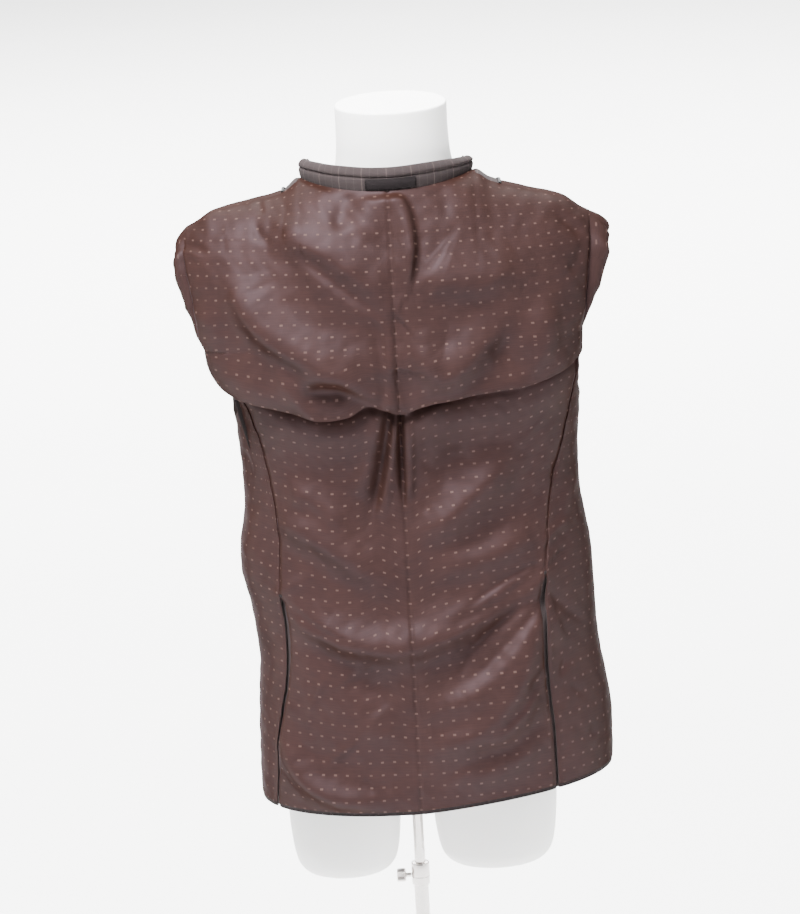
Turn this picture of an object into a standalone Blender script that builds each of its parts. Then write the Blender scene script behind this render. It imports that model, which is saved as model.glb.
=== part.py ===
"""A sport coat turned inside out and worn by a limbless torso form on a height-adjustable stand.

Metres, +Z up. The stand's rod is the Z axis and the floor is Z = 0. The form's chest faces +Y,
so the coat's back faces -Y. Left is the form's own left, at -X.

The coat is one surface, body(angle, level). The angle runs round it from the centre back, in
degrees, positive to the right. The level is 0 at the hem, FOLD_LEVEL on the fold across the back,
1 at the chest and 2 on the shoulder seam. Each panel is a patch of that surface with a wall.
"""

import math

import bmesh
import bpy
import numpy as np

# ---------------------------------------------------------------- driving sizes

CLOTH = 0.0026
SLEEVE_CLOTH = 0.0021
SEAM_GAP = 0.0003
SHOULDER_GAP = 0.0006
LEFT, RIGHT = -1, 1

HEM_Z = 0.786
HEM_RISE_RIGHT = 0.019
CHEST_Z = 1.305
FOLD_Z = 1.229
FOLD_RISE = {LEFT: 0.046, RIGHT: 0.054}
FOLD_SWEEP = {LEFT: 2.0, RIGHT: 1.3}
FOLD_OVERHANG = 0.0130
FOLD_LEVEL = 0.8
CENTRE_X = 0.005
SQUARENESS = 2.35


def table(columns, *rows):
    """Rows of numbers that are read by the name of their column."""
    return {name: np.array([row[i] for row in rows], float) for i, name in enumerate(columns.split())}


# How far the coat reaches from the rod on each side, at each height.
SECTIONS = table(
    "z      left   right  back   front",
    (0.780, 0.172, 0.222, 0.120, 0.126),
    (0.870, 0.170, 0.223, 0.119, 0.126),
    (0.950, 0.166, 0.212, 0.116, 0.122),
    (1.000, 0.170, 0.210, 0.111, 0.117),
    (1.055, 0.178, 0.208, 0.105, 0.113),
    (1.120, 0.171, 0.199, 0.100, 0.111),
    (1.170, 0.172, 0.199, 0.100, 0.113),
    (1.235, 0.184, 0.205, 0.109, 0.119),
    (1.305, 0.202, 0.215, 0.120, 0.124),
)

# The angles of the seams at each height: side body to back, and side body to front.
SEAMS = table(
    "z      back_left back_right front_left front_right",
    (0.780, 62, 41, 104, 86),
    (0.870, 57, 40, 101, 85),
    (0.950, 51, 40, 97, 86),
    (1.030, 47, 41, 92, 88),
    (1.090, 47, 47, 92, 92),
    (1.145, 51, 55, 95, 98),
    (1.190, 55, 63, 100, 104),
    (1.235, 60, 68, 107, 109),
    (1.305, 71, 72, 114, 114),
)
SEAM_NAMES = {LEFT: ("back_left", "front_left"), RIGHT: ("back_right", "front_right")}

# The shoulder seam, by its distance from the centre line.
SHOULDER = table(
    "x      left   right",
    (0.0935, 1.480, 1.479),
    (0.112, 1.467, 1.468),
    (0.148, 1.458, 1.456),
    (0.188, 1.448, 1.444),
    (0.217, 1.433, 1.426),
)
SHOULDER_NAMES = {LEFT: "left", RIGHT: "right"}
SHOULDER_TIP = 0.217
SHOULDER_Y = (-0.018, -0.005)
NECK_HALF_WIDTH = 0.0935
NECK_BACK_DEPTH = 0.065
NECK_BOW = 0.8
NECK_BACK_Z = 1.470
NECK_FRONT_DEPTH = 0.095
NECK_FRONT_DROP = 0.070
TURN_AT_NECK = 50.0
TURN_AT_SHOULDER = 87.0

# Front edges, measured across from the centre front to the front's own side.
OVERLAP = 0.018
BREAK_Z = 1.120
CUTAWAY_Z = 0.975
CUTAWAY = 0.105
FACING_AT_CHEST = 0.078
FACING_AT_SHOULDER = {LEFT: 0.112, RIGHT: 0.121}
UNDER_FRONT_INSET = 0.0036

VENT_TOP = {LEFT: 1.030, RIGHT: 1.041}
VENT_OPEN = 0.0060
VENT_AT_HEM = 0.0030
VENT_FLAP_WIDTH = 0.030
VENT_FLAP_DEPTH = 0.0080
ARMHOLE_DIP = 0.083
UNDER_ARM = 8
BESIDE_ARM = 7
ARM_SWELL = {LEFT: 0.011, RIGHT: 0.002}

# Soft ridges and troughs of the back, as three points of a bend seen from behind.
# half is the half width and lift the height, which is negative for a trough.
BACK_FOLDS = table(
    "x1      z1     x2      z2     x3     z3     half   lift",
    (-0.130, 1.030, -0.020, 0.965, 0.140, 1.040, 0.015, -0.0040),
    (-0.125, 1.065, -0.010, 0.990, 0.120, 1.060, 0.018, 0.0035),
    (-0.060, 0.860, 0.060, 0.880, 0.140, 0.990, 0.018, -0.0035),
    (-0.090, 0.905, 0.030, 0.930, 0.130, 1.000, 0.016, 0.0025),
    (-0.150, 1.400, -0.110, 1.340, -0.030, 1.285, 0.018, -0.0035),
    (-0.100, 1.280, -0.060, 1.240, -0.010, 1.248, 0.014, 0.0040),
    (0.030, 1.285, 0.090, 1.260, 0.160, 1.340, 0.018, -0.0030),
    (0.024, 1.460, 0.034, 1.410, 0.018, 1.360, 0.010, 0.0030),
    (-0.026, 1.225, -0.030, 1.170, -0.050, 1.130, 0.012, -0.0040),
)

# ---------------------------------------------------------------- the coat's surface


def smooth(at, knots, values):
    """A cubic curve through a table's rows, level at both ends."""
    slope = np.zeros_like(values)
    slope[1:-1] = (values[2:] - values[:-2]) / (knots[2:] - knots[:-2])
    i = np.clip(np.searchsorted(knots, at, side="right") - 1, 0, len(knots) - 2)
    step = knots[i + 1] - knots[i]
    t = np.clip((at - knots[i]) / step, 0, 1)
    rise = t * t * (3 - 2 * t)
    return (
        (1 - rise) * values[i]
        + rise * values[i + 1]
        + (t - 1) ** 2 * t * step * slope[i]
        + (t - 1) * t * t * step * slope[i + 1]
    )


def ease(at):
    """0 below 0, 1 above 1, and a smooth step between."""
    t = np.clip(at, 0, 1)
    return t * t * (3 - 2 * t)


def fold_line(angle):
    """The height of the fold across the back: a V that climbs to both sides, and eases at the front."""
    sine = np.sin(np.radians(angle))
    swing = np.abs(sine) ** np.where(sine < 0, FOLD_SWEEP[LEFT], FOLD_SWEEP[RIGHT])
    rise = np.where(sine < 0, FOLD_RISE[LEFT], FOLD_RISE[RIGHT])
    at_front = np.abs(angle) > 90
    return FOLD_Z + rise * np.where(at_front, 1 - 0.5 * (1 - swing), swing)


def hem_line(angle):
    """The height of the hem, which hitches up a little on the right."""
    from_side = np.clip(np.asarray(angle, float) / 90, 0, 2) - 1
    return HEM_Z + HEM_RISE_RIGHT * (1 - from_side**2)


def ring(angle, z):
    """A point on the coat's horizontal section: a superellipse with its own reach on each side."""
    turn = np.radians(angle)
    power = 2 / SQUARENESS
    wide = np.where(
        np.sin(turn) < 0,
        smooth(z, SECTIONS["z"], SECTIONS["left"]) + CENTRE_X,
        smooth(z, SECTIONS["z"], SECTIONS["right"]) - CENTRE_X,
    )
    deep = np.where(
        np.cos(turn) > 0,
        smooth(z, SECTIONS["z"], SECTIONS["back"]),
        smooth(z, SECTIONS["z"], SECTIONS["front"]),
    )
    x = CENTRE_X + wide * np.sign(np.sin(turn)) * np.abs(np.sin(turn)) ** power
    y = -deep * np.sign(np.cos(turn)) * np.abs(np.cos(turn)) ** power
    return x, y


def fan(angle):
    """How much wider the columns stand at the shoulder than at the chest."""
    turn = np.asarray(angle, float)
    side = np.where(np.sin(np.radians(turn)) < 0, LEFT, RIGHT)
    at_back = np.abs(turn) < 90
    widest = np.where(at_back, np.where(side < 0, 71.0, 72.0), 114.0)
    chest_x, _ = ring(side * widest, CHEST_Z)
    return SHOULDER_TIP / np.abs(chest_x - CENTRE_X)


def top_point(angle):
    """The neckline near the centre, and the shoulder seam further out."""
    chest_x, _ = ring(angle, CHEST_Z)
    out = (chest_x - CENTRE_X) * fan(angle)
    x = CENTRE_X + out
    reach = np.abs(out)
    inside = np.clip(reach / NECK_HALF_WIDTH, 0, 1)
    bow = (1 - inside**2) ** NECK_BOW
    at_back = np.abs(np.asarray(angle, float)) < 90
    along = np.clip((reach - NECK_HALF_WIDTH) / (SHOULDER_TIP - NECK_HALF_WIDTH), 0, 1)
    y = SHOULDER_Y[0] + (SHOULDER_Y[1] - SHOULDER_Y[0]) * along
    y = y + np.where(at_back, -NECK_BACK_DEPTH, NECK_FRONT_DEPTH) * bow
    y = y + np.where(at_back, -SHOULDER_GAP, SHOULDER_GAP) / 2
    seam = np.where(
        out < 0,
        smooth(reach, SHOULDER["x"], SHOULDER["left"]),
        smooth(reach, SHOULDER["x"], SHOULDER["right"]),
    )
    neck_side = seam - NECK_BACK_Z
    z = seam - np.where(at_back, neck_side, NECK_FRONT_DROP) * bow
    turn = TURN_AT_NECK + (TURN_AT_SHOULDER - TURN_AT_NECK) * ease(inside)
    return x, y, z, np.radians(turn)


def bend(x, z, x1, z1, x2, z2, x3, z3):
    """The distance from a three-point bend in the plane of the back, and how far along it, 0 to 1."""
    best = np.full(np.shape(x), 9.0)
    along = np.zeros(np.shape(x))
    steps = np.linspace(0, 1, 13)
    path_x = (1 - steps) ** 2 * x1 + 2 * steps * (1 - steps) * x2 + steps**2 * x3
    path_z = (1 - steps) ** 2 * z1 + 2 * steps * (1 - steps) * z2 + steps**2 * z3
    for i in range(len(steps) - 1):
        dx, dz = path_x[i + 1] - path_x[i], path_z[i + 1] - path_z[i]
        t = np.clip(((x - path_x[i]) * dx + (z - path_z[i]) * dz) / (dx * dx + dz * dz), 0, 1)
        away = np.hypot(x - path_x[i] - t * dx, z - path_z[i] - t * dz)
        nearer = away < best
        along = np.where(nearer, (i + t) / (len(steps) - 1), along)
        best = np.where(nearer, away, best)
    return best, along


def push(angle, x, z):
    """How far the folds stand out from the plain surface."""
    h = z - fold_line(angle)
    across = ease((84 - np.abs(angle)) / 24)
    slump = -0.003 * np.exp(-((h / 0.018) ** 2))
    slump = slump + FOLD_OVERHANG * ease(h / 0.007) * np.exp(-((np.maximum(h, 0) / 0.050) ** 2))
    out = slump * across * (0.45 + 0.55 * ease((72 - np.abs(angle)) / 40))
    at_back = ease((76 - np.abs(angle)) / 20)
    for k in range(len(BACK_FOLDS["half"])):
        points = [BACK_FOLDS[name][k] for name in ("x1", "z1", "x2", "z2", "x3", "z3")]
        away, along = bend(x, z, *points)
        taper = np.sin(np.pi * np.clip(along, 0.02, 0.98)) ** 0.7
        out = out + at_back * BACK_FOLDS["lift"][k] * taper * np.exp(-((away / BACK_FOLDS["half"][k]) ** 2))
    return out


def plain(angle, level):
    """The coat's surface with no folds, as x, y and z arrays."""
    angle, level = np.broadcast_arrays(np.asarray(angle, float), np.asarray(level, float))
    hem, fold = hem_line(angle), fold_line(angle)
    low = hem + (fold - hem) * np.clip(level / FOLD_LEVEL, 0, 1)
    low = low + (CHEST_Z - fold) * np.clip((level - FOLD_LEVEL) / (1 - FOLD_LEVEL), 0, 1)
    x, y = ring(angle, low)
    top_x, top_y, top_z, turn = top_point(angle)
    lean = turn * np.clip(level - 1, 0, 1)
    above = np.clip(level - 1, 0, 1)
    inwards = (1 - np.cos(lean)) / (1 - np.cos(turn))
    upwards = np.sin(lean) / np.sin(turn)
    widening = 1 - (1 - above) ** 2.2
    near_arm = ease((np.abs(x - CENTRE_X) - 0.12) / 0.07)
    swell = np.where(x < CENTRE_X, ARM_SWELL[LEFT], ARM_SWELL[RIGHT]) * near_arm
    swell = swell * np.sin(np.pi * above**0.75) * np.sign(x - CENTRE_X)
    return (
        x + (top_x - x) * widening + swell,
        y + (top_y - y) * inwards,
        low + (top_z - CHEST_Z) * upwards,
    )


def body(angle, level, depth=0.0):
    """The coat's surface with its folds, moved in by depth along the plain surface's normal."""
    x, y, z = plain(angle, level)
    normal = plain_normal(angle, level)
    out = (push(np.asarray(angle, float), x, z) - depth)[..., None]
    return np.stack([x, y, z], -1) + normal * out


def plain_normal(angle, level):
    """The outward normal of the plain surface, which has no lean forwards or back on the shoulder seam."""
    step_a, step_l = 0.5, 0.004
    low, high = np.maximum(np.asarray(level, float) - step_l, 0), np.asarray(level, float) + step_l
    high = np.minimum(high, 1.995)
    low = np.minimum(low, 1.985)
    at_seam = ease((low - 1.70) / 0.24) * ease((np.abs(plain(angle, level)[0]) - 0.062) / 0.028)
    round_it = np.stack(plain(angle + step_a, level), -1) - np.stack(plain(angle - step_a, level), -1)
    up_it = np.stack(plain(angle, high), -1) - np.stack(plain(angle, low), -1)
    normal = np.cross(round_it, up_it)
    normal[..., 1] *= 1 - at_seam
    return normal / np.linalg.norm(normal, axis=-1, keepdims=True)


def moved(angle, level, metres):
    """The angle after going that many metres round the coat."""
    step = 0.5
    a = np.stack(plain(angle + step, level), -1)
    b = np.stack(plain(angle - step, level), -1)
    per_degree = np.linalg.norm(a - b, axis=-1) / (2 * step)
    return angle + metres / per_degree


def height(angle, level):
    """The height of a point on the plain surface."""
    return plain(angle, level)[2]


# ---------------------------------------------------------------- edges of the panels


def seam_angle(side, which, level):
    """The angle of a side seam. which is 0 at the back and 1 at the front."""
    names = SEAM_NAMES[side]
    guess = side * 70.0
    z = np.minimum(height(np.full(np.shape(level), guess), np.minimum(level, 1.0)), CHEST_Z)
    return side * smooth(z, SEAMS["z"], SEAMS[names[which]])


def vent_gap(side, z):
    """Half of the gap between back and side body: a seam above, the open vent below."""
    drop = VENT_TOP[side] - z
    opened = VENT_OPEN * ease(drop / 0.03)
    opened = opened - (VENT_OPEN - VENT_AT_HEM) * ease(drop / (VENT_TOP[side] - HEM_Z))
    return (SEAM_GAP + opened) / 2


def front_edge(z):
    """The front edge's distance past the centre front: overlap, roll line above and cutaway below."""
    neck_side = SHOULDER["left"][0]
    rolled = np.clip((z - BREAK_Z) / (neck_side - BREAK_Z), 0, 1)
    cut = np.clip((CUTAWAY_Z - z) / (CUTAWAY_Z - HEM_Z), 0, 1)
    bow = 1 - np.sqrt(1 - (0.995 * cut) ** 2)
    return -OVERLAP + (NECK_HALF_WIDTH + OVERLAP) * rolled + CUTAWAY * bow


def front_angle(side, distance, level):
    """The angle of the point of the front that lies this far from the centre front."""
    level = np.asarray(level, float)
    z = height(side * np.full(level.shape, 150.0), np.minimum(level, 1.0))
    wide = smooth(z, SECTIONS["z"], SECTIONS[SHOULDER_NAMES[side]]) - side * CENTRE_X
    above = np.clip(level - 1, 0, 1)
    spread = fan(side * np.full(level.shape, 150.0))
    widening = 1 - (1 - above) ** 2.2
    share = np.clip(np.asarray(distance) / (wide * (1 + (spread - 1) * widening)), -1, 1)
    swing = np.degrees(np.arcsin(np.sign(share) * np.abs(share) ** (SQUARENESS / 2)))
    return side * (180.0 - swing)


def roll_distance(level):
    """The front edge's distance from the centre front at a level, up to the neck."""
    level = np.asarray(level, float)
    z = height(np.full(level.shape, 172.0), np.minimum(level, 1.0))
    at_chest = front_edge(np.array(CHEST_Z))
    upper = at_chest + (NECK_HALF_WIDTH + 0.001 - at_chest) * np.sin(np.pi / 2 * np.clip(level - 1, 0, 1))
    return np.where(level > 1, upper, front_edge(z))


def facing_distance(side, level):
    """The seam between facing and lining, from the centre front."""
    level = np.asarray(level, float)
    edge = roll_distance(level)
    low = np.maximum(edge + 0.045, FACING_AT_CHEST)
    upper = FACING_AT_CHEST + (FACING_AT_SHOULDER[side] - FACING_AT_CHEST) * ease((level - 0.9) / 1.1)
    return np.where(level > 0.9, np.maximum(upper, edge + 0.016), low)


def armhole_level(angle, swing):
    """The level of the side body's top edge, which dips under the arm. swing is -1 and 1 at its ends."""
    z = CHEST_Z - ARMHOLE_DIP * np.sqrt(np.clip(1 - swing**2, 0, 1))
    hem, fold = hem_line(angle), fold_line(angle)
    above = FOLD_LEVEL + (1 - FOLD_LEVEL) * (z - fold) / (CHEST_Z - fold)
    below = FOLD_LEVEL * (z - hem) / (fold - hem)
    return np.where(z > fold, above, below)


# ---------------------------------------------------------------- meshes


def material(name, colour, roughness, metallic=0.0):
    """A Principled finish."""
    made = bpy.data.materials.new(name)
    made.use_nodes = True
    shader = made.node_tree.nodes["Principled BSDF"]
    shader.inputs["Base Color"].default_value = (*colour, 1)
    shader.inputs["Roughness"].default_value = roughness
    shader.inputs["Metallic"].default_value = metallic
    return made


def add_mesh(name, points, faces, finish):
    """A named object from points and faces, facing out and shaded smooth."""
    mesh = bpy.data.meshes.new(name)
    mesh.from_pydata([tuple(map(float, p)) for p in points], [], faces)
    shape = bmesh.new()
    shape.from_mesh(mesh)
    bmesh.ops.recalc_face_normals(shape, faces=shape.faces)
    shape.to_mesh(mesh)
    shape.free()
    mesh.materials.append(finish)
    made = bpy.data.objects.new(name, mesh)
    bpy.context.scene.collection.objects.link(made)
    mesh.shade_smooth()
    mesh.set_sharp_from_angle(angle=math.radians(50))
    return made


def wall(name, outer, inner, finish, tube=False):
    """A closed wall between two grids of rows and columns. On a tube the columns run round."""
    rows, columns = outer.shape[:2]
    points = np.concatenate([outer.reshape(-1, 3), inner.reshape(-1, 3)])
    count = rows * columns
    across = columns if tube else columns - 1

    def edge(r1, c1, r2, c2):
        first = r1 * columns + c1 % columns
        second = r2 * columns + c2 % columns
        return [(first, second, count + second), (first, count + second, count + first)]

    faces = []
    for r in range(rows - 1):
        for c in range(across):
            low, high = r * columns, (r + 1) * columns
            nxt = (c + 1) % columns
            faces.append((low + c, low + nxt, high + nxt, high + c))
            faces.append((count + low + c, count + high + c, count + high + nxt, count + low + nxt))
    for c in range(across):
        faces += edge(0, c, 0, c + 1)
        faces += edge(rows - 1, c, rows - 1, c + 1)
    if not tube:
        for r in range(rows - 1):
            faces += edge(r, 0, r + 1, 0)
            faces += edge(r, columns - 1, r + 1, columns - 1)
    return add_mesh(name, points, faces, finish)


def patch(name, first, last, levels, columns, finish, depth=0.0, cloth=CLOTH):
    """A panel between two edges, which give the angle at a level. columns is a count or the shares."""
    share = (np.linspace(0, 1, columns) if np.isscalar(columns) else columns)[None, :]
    level = np.broadcast_to(levels[:, None], (len(levels), share.shape[1]))
    angle = first(levels)[:, None] * (1 - share) + last(levels)[:, None] * share
    inset = depth(angle, level) if callable(depth) else depth
    outer = body(angle, level, inset)
    inner = body(angle, level, inset + cloth)
    return wall(name, outer, inner, finish)


HEM_ROWS = [0, 0.006, 0.02, 0.045, 0.08, 0.14, 0.21, 0.29, 0.38, 0.47, 0.56, 0.64, 0.71]
FOLD_ROWS = [0.755, 0.782, 0.794, 0.80, 0.807, 0.82, 0.86, 0.92, 1.0]
PANEL_LEVELS = np.concatenate([HEM_ROWS, FOLD_ROWS, np.linspace(1.12, 2, 8)])
SIDE_LEVELS = PANEL_LEVELS[PANEL_LEVELS <= 1]
BACK_SHARES = np.array([0, 0.045, 0.10, 0.155, 0.205, 0.25, 0.295, 0.36, 0.46, 0.57, 0.69, 0.80, 0.90, 1.0])
FLAP_LEVELS = np.linspace(0.004, 0.44, 8)
LAPEL_LEVELS = np.concatenate([[0.83, 0.88, 0.94, 1.0], np.linspace(1.12, 1.56, 5)])

# ---------------------------------------------------------------- coat pieces


def back_panel(side, finish):
    """Half of the back, from the centre seam to the side-body seam and the armhole."""

    def centre(level):
        return moved(np.zeros_like(level), level, side * SEAM_GAP / 2)

    def outer(level):
        seam = seam_angle(side, 0, level)
        gap = vent_gap(side, height(seam, level))
        return moved(seam, level, -side * np.where(level > 1, 0, gap))

    return patch(name_of("back", side), centre, outer, PANEL_LEVELS, BACK_SHARES, finish)


def side_body(side, finish):
    """The side body under the arm, with the armhole's curve for its top edge."""

    def back_edge(level):
        seam = seam_angle(side, 0, level)
        return moved(seam, level, side * vent_gap(side, height(seam, level)))

    def front_edge_of_side(level):
        return moved(seam_angle(side, 1, level), level, -side * SEAM_GAP / 2)

    share = (1 - np.cos(np.linspace(0, np.pi, UNDER_ARM + 1)))[None, :] / 2
    rows = SIDE_LEVELS[:, None]
    level = rows * np.ones_like(share)
    for _ in range(4):
        angle = back_edge(level) * (1 - share) + front_edge_of_side(level) * share
        level = rows * (1 - (1 - armhole_level(angle[-1:], 2 * share - 1)) * rows**2)
    outer, inner = body(angle, level), body(angle, level, CLOTH)
    return wall(name_of("side", side), outer, inner, finish)


def under_inset(side):
    """The right front lies under the left one, so it is set in where they overlap."""

    def inset(angle, level):
        if side == LEFT:
            return np.zeros(np.shape(angle))
        x, _, z = plain(angle, level)
        near = ease((0.055 - x) / 0.026) * ease((BREAK_Z + 0.13 - z) / 0.05)
        return UNDER_FRONT_INSET * near

    return inset


def front_panel(side, finish):
    """The lined front, from the side-body seam and the armhole to the facing."""

    def outer(level):
        seam = seam_angle(side, 1, level)
        return moved(seam, level, side * np.where(level > 1, 0, SEAM_GAP / 2))

    def facing_seam(level):
        return moved(front_angle(side, facing_distance(side, level), level), level, -side * SEAM_GAP / 2)

    return patch(
        name_of("front", side), outer, facing_seam, PANEL_LEVELS, 7, finish, under_inset(side)
    )


def facing(side, finish):
    """The facing, from its seam with the lining to the front edge and the roll of the lapel."""

    def facing_seam(level):
        return moved(front_angle(side, facing_distance(side, level), level), level, side * SEAM_GAP / 2)

    def edge(level):
        return front_angle(side, roll_distance(level), level)

    return patch(
        name_of("facing", side), facing_seam, edge, PANEL_LEVELS, 5, finish, under_inset(side)
    )


def lapel(side, finish):
    """The lapel, folded back along the roll line between the facing and the form."""
    width = table(
        "level  width",
        (0.83, 0.012),
        (1.00, 0.052),
        (1.30, 0.078),
        (1.45, 0.072),
        (1.56, 0.055),
    )

    def edge(level):
        return front_angle(side, roll_distance(level) + 0.0015, level)

    def free_edge(level):
        reach = roll_distance(level) + smooth(level, width["level"], width["width"])
        return front_angle(side, reach, level)

    depth = CLOTH + 0.0022
    return patch(name_of("lapel", side), edge, free_edge, LAPEL_LEVELS, 5, finish, depth, 0.0022)


def vent_flap(side, finish):
    """The underlap behind each vent."""

    def outer(level):
        return moved(seam_angle(side, 0, level), level, side * 0.006)

    def inner(level):
        return moved(seam_angle(side, 0, level), level, -side * VENT_FLAP_WIDTH)

    return patch(
        name_of("vent_flap", side), outer, inner, FLAP_LEVELS, 4, finish, VENT_FLAP_DEPTH, 0.0020
    )


def piping(side, finish):
    """The narrow piping on the seam between facing and lining."""
    width, rise = 0.0034, 0.0016

    def edge(sign):
        def at(level):
            seam = front_angle(side, facing_distance(side, level), level)
            return moved(seam, level, sign * side * width / 2)

        return at

    inset = under_inset(side)

    def depth(angle, level):
        return inset(angle, level) - 0.0005 - rise

    levels = np.concatenate([PANEL_LEVELS[PANEL_LEVELS < 1.9], [1.985]])[1:]
    return patch(name_of("piping", side), edge(-1), edge(1), levels, 2, finish, depth, rise)


def name_of(piece, side):
    """A piece's node name, with its side."""
    return f"{piece}_{SHOULDER_NAMES[side]}"


# ---------------------------------------------------------------- sleeves

SLEEVE_CLEAR = 0.0040
SLEEVE_MIDDLE = 90.0
ROLL_FULLNESS = {LEFT: 0.55, RIGHT: 0.95}
ROLL_FULLEST_Z = 1.385
ROLL_LEAST = 0.24
ROLL_CLEAR = (0.0006, 0.0024)

# The sleeve head rolls out of the armhole and back in: how far out, and how far in from the seam.
SLEEVE_ROLL = table(
    "out     shrink",
    (0.0004, 0.0014),
    (0.0110, 0.0014),
    (0.0190, 0.0045),
    (0.0210, 0.0105),
    (0.0150, 0.0155),
    (0.0020, 0.0175),
    (-0.019, 0.0190),
)
# The flattened sleeve that hangs inside: the coat's level it hangs beside, half its thickness, and
# half the angle it spans.
SLEEVE_TUBE = table(
    "level  half_thick half_span",
    (0.600, 0.0095, 31.0),
    (0.480, 0.0090, 33.0),
    (0.360, 0.0080, 33.0),
    (0.240, 0.0068, 30.0),
    (0.100, 0.0062, 27.0),
)
BLEND_ROWS = 4
BLEND_SWING = 0.65
UNDER_SLEEVE = (4, 18)


def armhole(side):
    """The armhole's closed edge, from the shoulder tip down the back, under and up the front."""
    back = abs(float(seam_angle(side, 0, np.array(1.0))))
    front = abs(float(seam_angle(side, 1, np.array(1.0))))
    down = 2 - np.linspace(0, 1, BESIDE_ARM + 1)
    under = np.linspace(0, np.pi, UNDER_ARM + 1)[1:-1]
    swing = -np.cos(under)
    dip = np.full(swing.shape, (back + front) / 2)
    for _ in range(4):
        at = armhole_level(side * dip, swing)
        low, high = (np.abs(seam_angle(side, which, at)) for which in (0, 1))
        dip = (low + high) / 2 + (high - low) / 2 * swing
    angles = np.concatenate([np.full(len(down), back), dip, np.full(len(down) - 1, front)])
    levels = np.concatenate([down, armhole_level(side * dip, swing), down[::-1][:-1]])
    levels = np.minimum(levels, 1.998)
    return body(side * angles, levels)


def sleeve(side, finish):
    """The two-piece sleeve: its head rolls over the armhole and the rest hangs flat inside the coat."""
    seam = armhole(side)
    top, bottom = seam[:, 2].max(), seam[:, 2].min()
    centre = np.array([0, seam[:, 1].mean(), (top + bottom) / 2])
    spoke = (seam - centre) * [0, 1, 1]
    spoke /= np.linalg.norm(spoke, axis=1, keepdims=True)
    below = np.clip((ROLL_FULLEST_Z - seam[:, 2]) / (ROLL_FULLEST_Z - bottom), 0, 1)
    fullness = ROLL_FULLNESS[side] * (1 - ease(below / 0.55)) + ROLL_LEAST * ease(below / 0.55)
    clear = ROLL_CLEAR[0] + (ROLL_CLEAR[1] - ROLL_CLEAR[0]) * ease(below / 0.4)
    rows = []
    for out, shrink in zip(SLEEVE_ROLL["out"], SLEEVE_ROLL["shrink"]):
        point = seam - spoke * shrink
        point[:, 0] += side * (clear + out * (fullness if out > 0 else 1))
        rows.append(point)
    mouth = rows[-1]
    turn = np.arctan2(-(mouth[:, 1] - centre[1]) / 0.044, (mouth[:, 2] - centre[2]) / 0.088)
    flat = np.sign(np.cos(turn)) * np.abs(np.cos(turn)) ** 0.6
    wide = np.sign(np.sin(turn)) * np.abs(np.sin(turn)) ** 0.9
    tubes = []
    for level, thick, span in zip(*(SLEEVE_TUBE[name] for name in SLEEVE_TUBE)):
        angle = side * (SLEEVE_MIDDLE - span * wide)
        depth = CLOTH + SLEEVE_CLEAR + SLEEVE_CLOTH + thick * (1 + flat)
        at = np.full(len(turn), level)
        inwards = plain_normal(angle, at) * [1, 1, 0]
        tubes.append(np.stack(plain(angle, at), -1) - inwards * depth[:, None])
    for step in range(1, BLEND_ROWS + 1):
        share = step / (BLEND_ROWS + 1)
        point = mouth * (1 - share) + tubes[0] * share
        inwards = share ** (1 - BLEND_SWING * np.cos(turn))
        point[:, 0] = mouth[:, 0] + (tubes[0][:, 0] - mouth[:, 0]) * inwards
        rows.append(point)
    lining_side = np.array(rows + tubes)
    level_out = np.stack([-side * np.cos(turn) * 1.6, -np.sin(turn), 0 * turn], -1)
    level_out /= np.linalg.norm(level_out, axis=1, keepdims=True)
    away = away_from_hollow(lining_side, side)
    hanging = ease((np.arange(len(away)) - len(SLEEVE_ROLL["out"]) + 2) / 2)[:, None, None]
    away = away * (1 - hanging) + level_out * hanging
    away /= np.linalg.norm(away, axis=-1, keepdims=True)
    hidden_side = lining_side + away * SLEEVE_CLOTH
    under = range(UNDER_SLEEVE[0], UNDER_SLEEVE[1] + 1)
    top = range(UNDER_SLEEVE[1], UNDER_SLEEVE[0] + lining_side.shape[1] + 1)
    for piece, columns in (("sleeve_under", under), ("sleeve_top", top)):
        outer, inner = trimmed(lining_side, columns), trimmed(hidden_side, columns)
        wall(name_of(piece, side), outer, inner, finish)


def trimmed(grid, columns):
    """Some of a ring's columns, with both ends set in by half a seam gap."""
    part = np.take(grid, columns, axis=1, mode="wrap")
    for end, beside in ((0, 1), (-1, -2)):
        inwards = part[:, beside] - part[:, end]
        part[:, end] += inwards / np.linalg.norm(inwards, axis=-1, keepdims=True) * SEAM_GAP * 0.6
    return part


def away_from_hollow(grid, side):
    """Unit normals of a sleeve's grid, out of its hollow."""
    round_it = np.roll(grid, -1, axis=1) - np.roll(grid, 1, axis=1)
    normal = np.cross(np.gradient(grid, axis=0), round_it) * side
    return normal / np.linalg.norm(normal, axis=-1, keepdims=True)


# ---------------------------------------------------------------- collar and label

COLLAR_CLOTH = 0.0024
COLLAR_END = 0.30
COLLAR_TURNS = (0, 9, 18, 27, 38, 50, 62, 75, 90)
COLLAR_DROPS = (0.07, 0.14, 0.22, COLLAR_END)
# The collar's profile, from the neck seam up the stand, over the roll and down inside.
COLLAR_PROFILE = table(
    "in      up",
    (0.0000, 0.0005),
    (-0.0004, 0.0080),
    (0.0004, 0.0150),
    (0.0012, 0.0205),
    (0.0040, 0.0240),
    (0.0078, 0.0240),
    (0.0102, 0.0200),
    (0.0106, 0.0070),
)


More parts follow.
